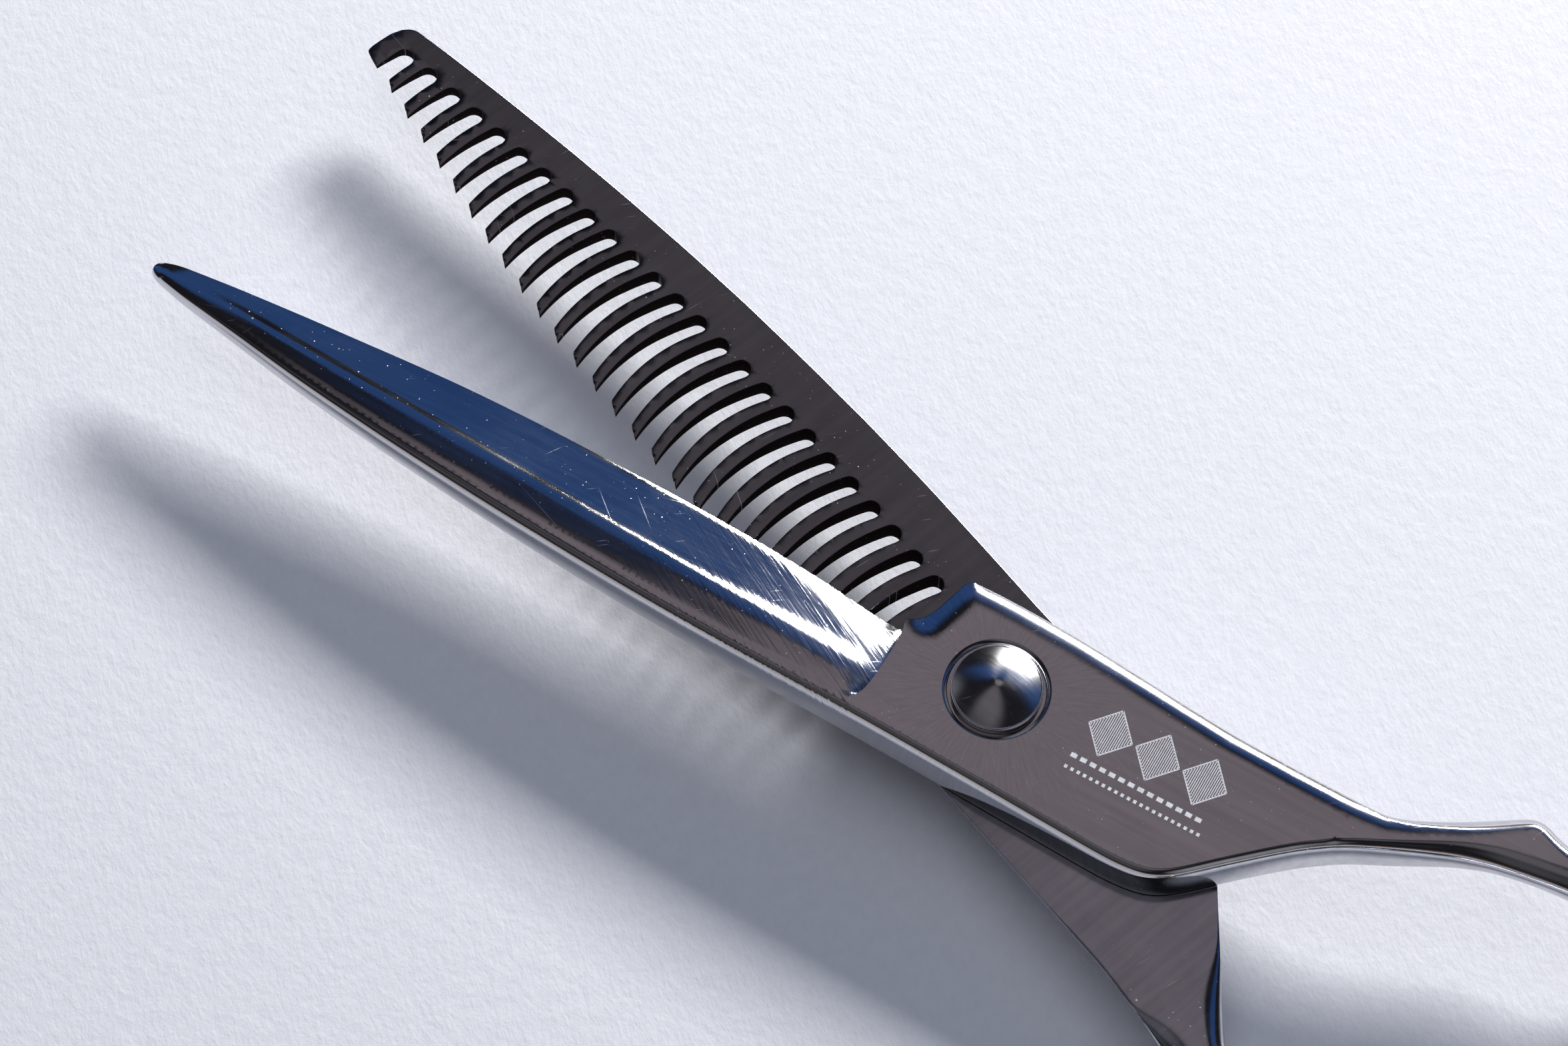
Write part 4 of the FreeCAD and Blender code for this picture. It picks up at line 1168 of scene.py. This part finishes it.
# ------------------------------------------------------- engraved ornament
def ornament():
    """A row of three hatched lozenges over two dotted rules, cut into the face behind the screw."""
    m = Mesh3()

    def strip_piece(p0, p1, w):
        p0, p1 = np.array(p0, float), np.array(p1, float)
        d = p1 - p0
        ln = np.hypot(*d)
        if ln < 0.05:
            return
        t = d / ln
        nrm = np.array([-t[1], t[0]]) * w / 2
        n = max(2, int(ln / 0.5) + 1)
        mid = [p0 + d * k / (n - 1) for k in range(n)]
        lo = np.array([q - nrm for q in mid])
        hi = np.array([q + nrm for q in mid])
        zl, zh = front_height(lo), front_height(hi)
        a0 = m.add(np.column_stack([lo, zl + 0.010]))
        a1 = m.add(np.column_stack([hi, zh + 0.010]))
        b0 = m.add(np.column_stack([lo, zl - 0.03]))
        b1 = m.add(np.column_stack([hi, zh - 0.03]))
        for i in range(n - 1):
            m.f += [(int(a0[i]), int(a0[i + 1]), int(a1[i + 1]), int(a1[i])),
                    (int(b0[i]), int(b1[i]), int(b1[i + 1]), int(b0[i + 1])),
                    (int(a0[i]), int(b0[i]), int(b0[i + 1]), int(a0[i + 1])),
                    (int(a1[i]), int(a1[i + 1]), int(b1[i + 1]), int(b1[i]))]
        m.f += [(int(a0[0]), int(a1[0]), int(b1[0]), int(b0[0])),
                (int(a0[-1]), int(b0[-1]), int(b1[-1]), int(a1[-1]))]
    cy = -1.0
    for k in range(3):
        cx = -8.6 - 3.75 * k
        hw, hh = 1.72, 1.95
        s = 0.155
        c = -hw - hh
        corners = [(cx + hw, cy), (cx, cy + hh), (cx - hw, cy), (cx, cy - hh)]
        for i in range(4):
            strip_piece(corners[i], corners[(i + 1) % 4], 0.11)
        # hatching, clipped to the lozenge
        x = -hw + s
        while x < hw - 0.02:
            h = hh * (1 - abs(x) / hw)
            if h > 0.12:
                strip_piece((cx + x - 0.0, cy - h + 0.03), (cx + x, cy + h - 0.03), 0.065)
            x += s
    for yy, pitch, long, w in ((1.75, 0.76, 0.48, 0.34), (2.75, 0.50, 0.24, 0.26)):
        for k in range(int(11.0 / pitch)):
            x0 = -6.9 - pitch * k
            strip_piece((x0, yy), (x0 - long, yy), w)
    return m.build("face_ornament", HALF_OPEN, 40.0)


mark = ornament()

# ---------------------------------------------------------------- materials
class Nodes:
    """Short way to write a node tree."""

    def __init__(self, name):
        self.mat = bpy.data.materials.new(name)
        self.mat.use_nodes = True
        self.t = self.mat.node_tree
        self.t.nodes.clear()
        self.out = self.t.nodes.new("ShaderNodeOutputMaterial")

    def add(self, kind, **inputs):
        n = self.t.nodes.new(kind)
        for k, v in inputs.items():
            if hasattr(n, k):
                setattr(n, k, v)
        return n

    def put(self, node, socket, value):
        if isinstance(value, bpy.types.NodeSocket):
            self.t.links.new(value, node.inputs[socket])
        else:
            node.inputs[socket].default_value = value
        return node

    def coords(self):
        return self.add("ShaderNodeTexCoord").outputs["Object"]

    def mapped(self, vec, scale=(1, 1, 1), rot=(0, 0, 0), loc=(0, 0, 0)):
        n = self.add("ShaderNodeMapping")
        self.put(n, "Vector", vec)
        self.put(n, "Scale", scale)
        self.put(n, "Rotation", rot)
        self.put(n, "Location", loc)
        return n.outputs[0]

    def noise(self, vec, scale, detail=3.0, rough=0.55, distortion=0.0):
        n = self.add("ShaderNodeTexNoise")
        self.put(n, "Vector", vec)
        self.put(n, "Scale", scale)
        self.put(n, "Detail", detail)
        self.put(n, "Roughness", rough)
        self.put(n, "Distortion", distortion)
        return n.outputs["Fac"]

    def voronoi(self, vec, scale, feature="F1", rnd=1.0):
        n = self.add("ShaderNodeTexVoronoi")
        n.feature = feature
        self.put(n, "Vector", vec)
        self.put(n, "Scale", scale)
        self.put(n, "Randomness", rnd)
        return n

    def math(self, op, a, b=None, c=None, clamp=False):
        n = self.add("ShaderNodeMath")
        n.operation = op
        n.use_clamp = clamp
        self.put(n, 0, a)
        if b is not None:
            self.put(n, 1, b)
        if c is not None:
            self.put(n, 2, c)
        return n.outputs[0]

    def span(self, v, a, b, c=0.0, d=1.0, smooth=False):
        n = self.add("ShaderNodeMapRange")
        if smooth:
            n.interpolation_type = "SMOOTHSTEP"
        self.put(n, 0, v)
        for k, q in zip((1, 2, 3, 4), (a, b, c, d)):
            self.put(n, k, q)
        return n.outputs[0]

    def mix(self, fac, a, b):
        n = self.add("ShaderNodeMix")
        n.data_type = "RGBA"
        n.blend_type = "MIX"
        self.put(n, 0, fac)
        self.put(n, 6, a)
        self.put(n, 7, b)
        return n.outputs[2]

    def bump(self, height, strength, distance, normal=None):
        n = self.add("ShaderNodeBump")
        self.put(n, "Strength", strength)
        self.put(n, "Distance", distance)
        self.put(n, "Height", height)
        if normal is not None:
            self.put(n, "Normal", normal)
        return n.outputs[0]

    def shader(self, color, metallic, rough, normal=None, **extra):
        n = self.add("ShaderNodeBsdfPrincipled")
        self.put(n, "Base Color", color)
        self.put(n, "Metallic", metallic)
        self.put(n, "Roughness", rough)
        if normal is not None:
            self.put(n, "Normal", normal)
        for k, v in extra.items():
            self.put(n, k, v)
        self.t.links.new(n.outputs[0], self.out.inputs[0])
        return n


def rgba(r, g, b):
    return (r, g, b, 1.0)


def strokes(q, co, angle, length, width, reach, share, seed):
    """Sparse straight hairlines: a thin ellipse round the point of each stretched cell."""
    v = q.mapped(q.mapped(co, rot=(0, 0, math.radians(-angle))), scale=(1000 / length, 1000 / width, 0), loc=(seed, 0.7 * seed, 0))
    n = q.add("ShaderNodeTexVoronoi")
    n.voronoi_dimensions = "2D"
    q.put(n, "Vector", v)
    q.put(n, "Scale", 1.0)
    c = q.add("ShaderNodeSeparateColor")
    q.put(c, 0, n.outputs["Color"])
    line = q.span(n.outputs["Distance"], 0.35 * reach, reach, 1.0, 0.0)
    on = q.math("MULTIPLY", q.math("GREATER_THAN", c.outputs[0], 1 - share), q.span(c.outputs[1], 0.0, 1.0, 0.35, 1.0))
    return q.math("MULTIPLY", line, on)


def polished(name, base=(0.60, 0.60, 0.62), dark=(0.50, 0.50, 0.53), rough=(0.05, 0.13), grain=None, dust=0.5,
             scratches=0.5, angle=0.0, bumpy=1.0, fur=0.0, rays=0.0, comb=False, turned_finish=False):
    """Polished steel: faint grinding lines along the piece, hairline scratches, wiped smears and dust.

    fur is a brushed nap over the hollow of the blade, rays are polishing streaks drawn out from the
    screw's seat, comb paints shade: the comb's blade darker than its shank, and the slots' walls near black."""
    q = Nodes(name)
    co = q.coords()
    turned = q.mapped(co, rot=(0, 0, math.radians(-angle)))
    xyz = q.add("ShaderNodeSeparateXYZ")
    q.put(xyz, 0, turned)
    lx, ly = xyz.outputs[0], xyz.outputs[1]
    lines = q.noise(q.mapped(turned, scale=grain or (60, 2200, 900)), 1.0, 2.0, 0.6)
    fine = q.noise(q.mapped(turned, scale=(260, 5200, 3000) if not grain else tuple(2.3 * g for g in grain)), 1.0, 1.0, 0.5)
    smear = q.noise(q.mapped(turned, scale=(120, 210, 210)), 1.0, 4.0, 0.62, 0.6)
    nap = q.noise(q.mapped(q.mapped(co, rot=(0, 0, math.radians(20.6))), scale=(150, 3400, 500)), 1.0, 2.0, 0.65)
    # polar streaks round the pivot
    flat_r = q.math("SQRT", q.math("ADD", q.math("MULTIPLY", lx, lx), q.math("MULTIPLY", ly, ly)))
    ang = q.math("ARCTAN2", ly, lx)
    pol = q.add("ShaderNodeCombineXYZ")
    q.put(pol, 0, q.math("MULTIPLY", ang, 34.0))
    q.put(pol, 1, q.math("MULTIPLY", flat_r, 620.0))
    ray = q.noise(pol.outputs[0], 1.0, 4.0, 0.68)
    near = q.math("MULTIPLY", q.span(flat_r, 0.0033, 0.0042, 0.0, 1.0), q.span(flat_r, 0.0055, 0.0125, 1.0, 0.0, True))

    scr = None
    for k, (an, ln, wd, reach, share) in enumerate(((-32, 26, 0.60, 0.075, 0.10), (24, 18, 0.50, 0.07, 0.09), (72, 14, 0.5, 0.07, 0.08),
                                                    (-12, 40, 0.45, 0.085, 0.06), (48, 6, 0.4, 0.09, 0.10))):
        line = strokes(q, co, an, ln, wd, reach, share, 3.37 * k + 1.1)
        scr = line if scr is None else q.math("MAXIMUM", scr, line)
    scr = q.math("MULTIPLY", scr, scratches, clamp=True)
    # dust: sparse round specks of three sizes, thicker in patches
    patch = q.span(q.noise(co, 150.0, 2.0), 0.42, 0.62, 0.25, 1.0)
    specks = None
    for scale, r0, r1, share, off in ((560.0, 0.030, 0.060, 0.10, 0.0), (1500.0, 0.045, 0.095, 0.14, 0.37), (3300.0, 0.06, 0.16, 0.16, 0.71)):
        v = q.voronoi(q.mapped(co, loc=(off, off * 0.3, off * 0.7)), scale)
        c = q.add("ShaderNodeSeparateColor")
        q.put(c, 0, v.outputs["Color"])
        one = q.math("MULTIPLY", q.span(v.outputs["Distance"], r0, r1, 1.0, 0.0), q.math("GREATER_THAN", c.outputs[0], 1 - share))
        one = q.math("MULTIPLY", one, q.span(c.outputs[1], 0, 1, 0.4, 1.0))
        specks = one if specks is None else q.math("MAXIMUM", specks, one)
    specks = q.math("MULTIPLY", q.math("MULTIPLY", specks, patch), dust, clamp=True)
    tone = q.math("ADD", q.math("MULTIPLY", lines, 0.55), q.math("MULTIPLY", smear, 0.45))
    if rays:
        k = q.math("MULTIPLY", near, rays)
        tone = q.math("ADD", q.math("MULTIPLY", tone, q.math("SUBTRACT", 1.0, k)), q.math("MULTIPLY", ray, k))
    tone = q.span(tone, 0.36, 0.64, 0.0, 1.0)
    col = q.mix(tone, rgba(*dark), rgba(*base))
    r = q.span(q.math("ADD", q.math("MULTIPLY", smear, 0.7), q.math("MULTIPLY", fine, 0.3)), 0.32, 0.70, rough[0], rough[1])
    if comb:
        # painted shade: the blade of the comb is painted darker than its shank, where it lies lower, in shade, and the
        # slots' walls darker still, near black
        nz = q.add("ShaderNodeSeparateXYZ")
        q.put(nz, 0, q.add("ShaderNodeTexCoord").outputs["Normal"])
        upright = q.span(q.math("ABSOLUTE", nz.outputs[2]), 0.30, 0.75, 1.0, 0.0)
        toothed = q.math("MULTIPLY", q.span(lx, 0.006, 0.0075, 0.0, 1.0),
                         q.span(q.math("ADD", ly, q.math("MULTIPLY", lx, -0.045)), -0.0066, -0.0060, 0.0, 1.0))
        # painted shade: the slots' upright walls get a near-black colour, lose their metal and gain roughness, standing
        # in for the shadowed floor they reflect
        wall = q.math("MULTIPLY", upright, toothed)
        # painted shade: full tone on the shank, falling to 0.40 over the comb's blade
        comb_painted_shade = q.span(lx, -0.014, 0.004, 0.92, 0.40, True)
        mul = q.add("ShaderNodeVectorMath")
        mul.operation = "SCALE"
        q.put(mul, 0, col)
        q.put(mul, "Scale", comb_painted_shade)
        col = q.mix(wall, mul.outputs[0], rgba(0.020, 0.015, 0.016))
        r = q.math("ADD", r, q.math("MULTIPLY", wall, 0.28), clamp=True)
    if fur:
        # the hollow is brushed, coarsest at its heel
        r = q.math("ADD", r, q.math("MULTIPLY", q.span(lx, 0.0078, 0.0084, 0.0, 0.06), q.span(lx, 0.012, 0.030, 1.0, 0.0)), clamp=True)
        # and so is the rolled edge of the pivot block and shank
        r = q.math("ADD", r, q.math("MULTIPLY", q.span(ly, -0.0040, -0.0056, 0.0, 0.06), q.span(lx, 0.0065, 0.0075, 1.0, 0.0)), clamp=True)
    mark_ = q.math("MAXIMUM", scr, specks)
    col = q.mix(mark_, col, rgba(0.86, 0.87, 0.90))
    r = q.math("ADD", r, q.math("MULTIPLY", mark_, 0.5), clamp=True)
    metal = q.span(specks, 0.0, 1.0, 1.0, 0.15)
    if comb:
        metal = q.math("MULTIPLY", metal, q.math("SUBTRACT", 1.0, wall))
    h = q.math("ADD", q.math("MULTIPLY", lines, 0.6), q.math("MULTIPLY", fine, 0.4))
    nrm = q.bump(h, 0.09 * bumpy, 0.00002)
    if rays:
        nrm = q.bump(q.math("MULTIPLY", ray, near), 0.16 * rays, 0.00002, nrm)
    if fur:
        hollow = q.math("MULTIPLY", q.span(lx, 0.0078, 0.0084, 0.0, 1.0), q.span(lx, 0.012, 0.030, 1.0, 0.06))
        nrm = q.bump(q.math("MULTIPLY", nap, hollow), fur, 0.00002, nrm)
    nrm = q.bump(mark_, 0.30, 0.00001, nrm)
    sh = q.shader(col, metal, r, nrm)
    if comb:
        # painted shade: no specular on the slots' walls
        q.put(sh, "Specular IOR Level", q.span(wall, 0.0, 1.0, 0.5, 0.0))
    if turned_finish:
        tan = q.add("ShaderNodeTangent")
        tan.direction_type = "RADIAL"
        tan.axis = "Z"
        q.put(sh, "Anisotropic", 0.72)
        q.put(sh, "Tangent", tan.outputs[0])
    return q.mat


steel_front = polished("polished_steel", rough=(0.04, 0.10), angle=HALF_OPEN, dust=0.85, scratches=0.30, fur=1.3, rays=1.0)
# the comb half's steel is a darker, bluer copy of the front's: painted shade for the lower half, and a painted blue
# reflection
steel_rear = polished("polished_steel_rear", base=(0.54, 0.56, 0.62), dark=(0.42, 0.435, 0.49), rough=(0.09, 0.18), angle=-HALF_OPEN,
                      grain=(1500, 90, 900), dust=0.8, scratches=0.4, comb=True)
steel_screw = polished("screw_steel", base=(0.66, 0.66, 0.68), dark=(0.58, 0.58, 0.60), rough=(0.11, 0.19), dust=0.4, scratches=0.5,
                       bumpy=0.4, turned_finish=True)


def plastic(name, a, b, rough=0.42, scale=900.0):
    q = Nodes(name)
    co = q.coords()
    f = q.noise(co, scale, 4.0, 0.6)
    g = q.noise(co, scale * 4, 2.0, 0.5)
    col = q.mix(q.span(f, 0.35, 0.65), rgba(*a), rgba(*b))
    r = q.span(f, 0.3, 0.7, rough - 0.06, rough + 0.08)
    q.shader(col, 0.0, r, q.bump(g, 0.25, 0.00003))
    return q.mat


def satin(name, a, b, rough=0.3):
    q = Nodes(name)
    co = q.coords()
    f = q.noise(q.mapped(co, scale=(1, 1, 6)), 700.0, 3.0, 0.6)
    rings = q.noise(q.mapped(co, scale=(300, 300, 5200)), 1.0, 2.0, 0.5)
    col = q.mix(q.span(f, 0.35, 0.65), rgba(*a), rgba(*b))
    r = q.span(f, 0.3, 0.7, rough - 0.05, rough + 0.08)
    q.shader(col, 1.0, r, q.bump(rings, 0.15, 0.00002))
    return q.mat


etched = plastic("etched_steel", (0.60, 0.61, 0.66), (0.74, 0.75, 0.80), 0.55, 2600.0)
white_polymer = plastic("washer_polymer", (0.72, 0.71, 0.66), (0.80, 0.79, 0.74), 0.40)
rubber = plastic("bumper_rubber", (0.018, 0.018, 0.020), (0.032, 0.032, 0.034), 0.62)
bronze = satin("bush_bronze", (0.42, 0.27, 0.12), (0.52, 0.34, 0.17), 0.34)
spring_m = satin("spring_steel", (0.34, 0.34, 0.36), (0.44, 0.44, 0.46), 0.28)
ball_m = satin("ball_steel", (0.62, 0.62, 0.64), (0.68, 0.68, 0.70), 0.12)
dial_m = polished("dial_steel", base=(0.58, 0.58, 0.60), dark=(0.50, 0.50, 0.52), rough=(0.10, 0.20), dust=0.25, scratches=0.3)
rest_m = polished("rest_steel", base=(0.60, 0.60, 0.62), rough=(0.05, 0.12), dust=0.3, scratches=0.3, angle=HALF_OPEN)


def dress(ob, mat):
    ob.data.materials.clear()
    ob.data.materials.append(mat)


for ob, mat, body, slot_name, node in (
        (front, steel_front, "front_half", "front_steel", "plain_blade_half"),
        (rear, steel_rear, "comb_half", "rear_steel", "comb_blade_half"),
        (screw, steel_screw, "front_half", "screw_steel", "pivot_screw"),
        (cap_screw, steel_screw, "front_half", "screw_steel", "dial_retaining_screw"),
        (dial, dial_m, "tension_dial", "dial_steel", "tension_dial"),
        (rest, rest_m, "front_half", "rest_steel", "finger_rest"),
        (mark, etched, "front_half", "front_steel", None)):
    dress(ob, mat)
    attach(ob, body)
    if node:
        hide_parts(node)

for node, mat in (("ride_washer", white_polymer), ("glide_washer", white_polymer), ("finger_rest_washer", rubber),
                  ("pivot_bush", bronze), ("disc_spring", spring_m), ("click_plate", spring_m), ("dial_balls", ball_m),
                  ("bumper", rubber)):
    dress(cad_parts[node], mat)

# -------------------------------------------------------------------- stage
floor_me = bpy.data.meshes.new("paper_floor")
S = 1.6
floor_me.from_pydata([(-S, -S, -0.00005), (S, -S, -0.00005), (S, S, -0.00005), (-S, S, -0.00005)], [], [(0, 1, 2, 3)])
floor = bpy.data.objects.new("paper_floor", floor_me)
bpy.context.scene.collection.objects.link(floor)
q = Nodes("paper")
co = q.coords()
f1 = q.noise(co, 760.0, 4.0, 0.60)
f2 = q.noise(q.mapped(q.mapped(co, rot=(0, 0, 0.6)), scale=(1.0, 2.0, 1.0)), 1300.0, 3.0, 0.6)
tone = q.math("ADD", q.math("MULTIPLY", f1, 0.6), q.math("MULTIPLY", f2, 0.4))
col = q.mix(q.span(tone, 0.35, 0.65), rgba(0.80, 0.815, 0.87), rgba(0.845, 0.86, 0.91))
q.shader(col, 0.0, 0.9, q.bump(tone, 0.80, 0.00010))
floor_me.materials.append(q.mat)


def aim(ob, at):
    d = Vector(at) - ob.location
    ob.rotation_mode = "QUATERNION"
    ob.rotation_quaternion = d.to_track_quat("-Z", "Y")


def softbox(name, az, el, dist, w, h, power, color=(1, 1, 1), at=(0.0, 0.0, 0.0), glossy=True, spread=180):
    """az is the unit direction in plan, el the elevation in degrees."""
    d = bpy.data.lights.new(name, "AREA")
    d.shape = "RECTANGLE"
    d.size, d.size_y = w, h
    d.energy = power
    d.color = color
    d.spread = math.radians(spread)
    o = bpy.data.objects.new(name, d)
    n = math.hypot(*az)
    e = math.radians(el)
    o.location = (at[0] + az[0] / n * math.cos(e) * dist, at[1] + az[1] / n * math.cos(e) * dist, at[2] + math.sin(e) * dist)
    aim(o, at)
    o.visible_camera = False
    o.visible_glossy = glossy
    bpy.context.scene.collection.objects.link(o)
    return o


softbox("key", (0.21, -0.98), 24.5, 0.75, 0.34, 0.14, 9.4, (1.0, 0.985, 0.97))
softbox("fill", (0.3, -0.3), 78, 1.0, 1.1, 1.1, 2.7, (0.80, 0.87, 1.0), glossy=False)

world = bpy.data.worlds.new("studio")
bpy.context.scene.world = world
world.use_nodes = True
wt = world.node_tree
wt.nodes.clear()
wo = wt.nodes.new("ShaderNodeOutputWorld")
bg = wt.nodes.new("ShaderNodeBackground")
tc = wt.nodes.new("ShaderNodeTexCoord")
wt.links.new(bg.outputs[0], wo.inputs[0])


def lobe(axis, a_in, a_out):
    """1 inside a_in degrees of the axis, 0 beyond a_out."""
    v = Vector(axis).normalized()
    n = wt.nodes.new("ShaderNodeVectorMath")
    n.operation = "DOT_PRODUCT"
    wt.links.new(tc.outputs["Generated"], n.inputs[0])
    n.inputs[1].default_value = v
    m = wt.nodes.new("ShaderNodeMapRange")
    m.interpolation_type = "SMOOTHSTEP"
    wt.links.new(n.outputs["Value"], m.inputs[0])
    m.inputs[1].default_value = math.cos(math.radians(a_out))
    m.inputs[2].default_value = math.cos(math.radians(a_in))
    return m.outputs[0]


def wmix(fac, a, b):
    n = wt.nodes.new("ShaderNodeMix")
    n.data_type = "RGBA"
    wt.links.new(fac, n.inputs[0])
    for k, v in ((6, a), (7, b)):
        if isinstance(v, bpy.types.NodeSocket):
            wt.links.new(v, n.inputs[k])
        else:
            n.inputs[k].default_value = v
    return n.outputs[2]


def wnode(kind, **kw):
    n = wt.nodes.new(kind)
    for k, v in kw.items():
        setattr(n, k, v)
    return n


def rise(value, a, b, c=0.0, d=1.0):
    """Smooth change from c to d while the value goes from a to b."""
    m = wnode("ShaderNodeMapRange", interpolation_type="SMOOTHSTEP")
    wt.links.new(value, m.inputs[0])
    for k, x in zip((1, 2, 3, 4), (a, b, c, d)):
        m.inputs[k].default_value = x
    return m.outputs[0]


def times(a, b):
    m = wnode("ShaderNodeMath", operation="MULTIPLY")
    for k, x in ((0, a), (1, b)):
        if isinstance(x, bpy.types.NodeSocket):
            wt.links.new(x, m.inputs[k])
        else:
            m.inputs[k].default_value = x
    return m.outputs[0]


split = wnode("ShaderNodeSeparateXYZ")
wt.links.new(tc.outputs["Generated"], split.inputs[0])
height_z = split.outputs[2]
plan = wnode("ShaderNodeVectorMath", operation="MULTIPLY")
wt.links.new(tc.outputs["Generated"], plan.inputs[0])
plan.inputs[1].default_value = (1, 1, 0)
plan_n = wnode("ShaderNodeVectorMath", operation="NORMALIZE")
wt.links.new(plan.outputs[0], plan_n.inputs[0])


def toward(x, y, a_in, a_out):
    """1 within a_in degrees of a compass direction, 0 beyond a_out."""
    d = wnode("ShaderNodeVectorMath", operation="DOT_PRODUCT")
    wt.links.new(plan_n.outputs[0], d.inputs[0])
    n = math.hypot(x, y)
    d.inputs[1].default_value = (x / n, y / n, 0)
    return rise(d.outputs["Value"], math.cos(math.radians(a_out)), math.cos(math.radians(a_in)))


def el(deg):
    return math.sin(math.radians(deg))


# a dark room with a warm ceiling patch, a blue panel above the key, gray side panels and a light band round the horizon
sky = wmix(lobe((0.14, -0.33, 0.93), 10, 18), rgba(0.014, 0.014, 0.018), rgba(0.236, 0.202, 0.220))
sky = wmix(lobe((0.0, 0.24, 0.97), 10, 24), sky, rgba(0.150, 0.140, 0.155))
blue = times(times(rise(height_z, el(29.5), el(35.5)), rise(height_z, el(45), el(54), 1.0, 0.0)), toward(0.21, -0.98, 42, 78))
sky = wmix(blue, sky, rgba(0.030, 0.078, 0.225))
sky = wmix(lobe((0.0, 0.75, 0.66), 12, 30), sky, rgba(0.080, 0.080, 0.090))
sky = wmix(lobe((-1.0, 0.15, 0.45), 12, 34), sky, rgba(0.36, 0.37, 0.40))
sky = wmix(lobe((1.0, 0.35, 0.40), 10, 28), sky, rgba(0.30, 0.31, 0.34))
sky = wmix(rise(height_z, el(13), el(8)), sky, rgba(0.20, 0.125, 0.075))
sky = wmix(rise(height_z, el(7), el(3.5)), sky, rgba(0.62, 0.62, 0.66))
wt.links.new(sky, bg.inputs[0])
bg.inputs[1].default_value = 1.0

# ------------------------------------------------------------------- camera
PHI, TH = math.radians(1.2), math.radians(-24.5)
ax = np.array([math.cos(PHI), math.sin(PHI), 0.0])
K = np.array([[0, -ax[2], ax[1]], [ax[2], 0, -ax[0]], [-ax[1], ax[0], 0]])
R = np.eye(3) + math.sin(TH) * K + (1 - math.cos(TH)) * (K @ K)


def to_row(v):
    return np.array([-0.7728 * v[0] - 0.6346 * v[1], -0.6346 * v[0] + 0.7728 * v[1], -v[2]])


right, down, forward = (to_row(R[k]) for k in range(3))
cam_d = bpy.data.cameras.new("camera")
cam = bpy.data.objects.new("camera", cam_d)
bpy.context.scene.collection.objects.link(cam)
cam_d.sensor_width = 36.0
cam_d.lens = 131.0
cam_d.clip_start, cam_d.clip_end = 0.01, 20.0
up, back = -down, -forward
cam.matrix_world = Matrix((
    (right[0], up[0], back[0], -85.08 * MM), (right[1], up[1], back[1], 132.90 * MM),
    (right[2], up[2], back[2], 380.41 * MM), (0, 0, 0, 1)))
bpy.context.scene.camera = cam
bpy.context.scene.view_settings.view_transform = "Standard"
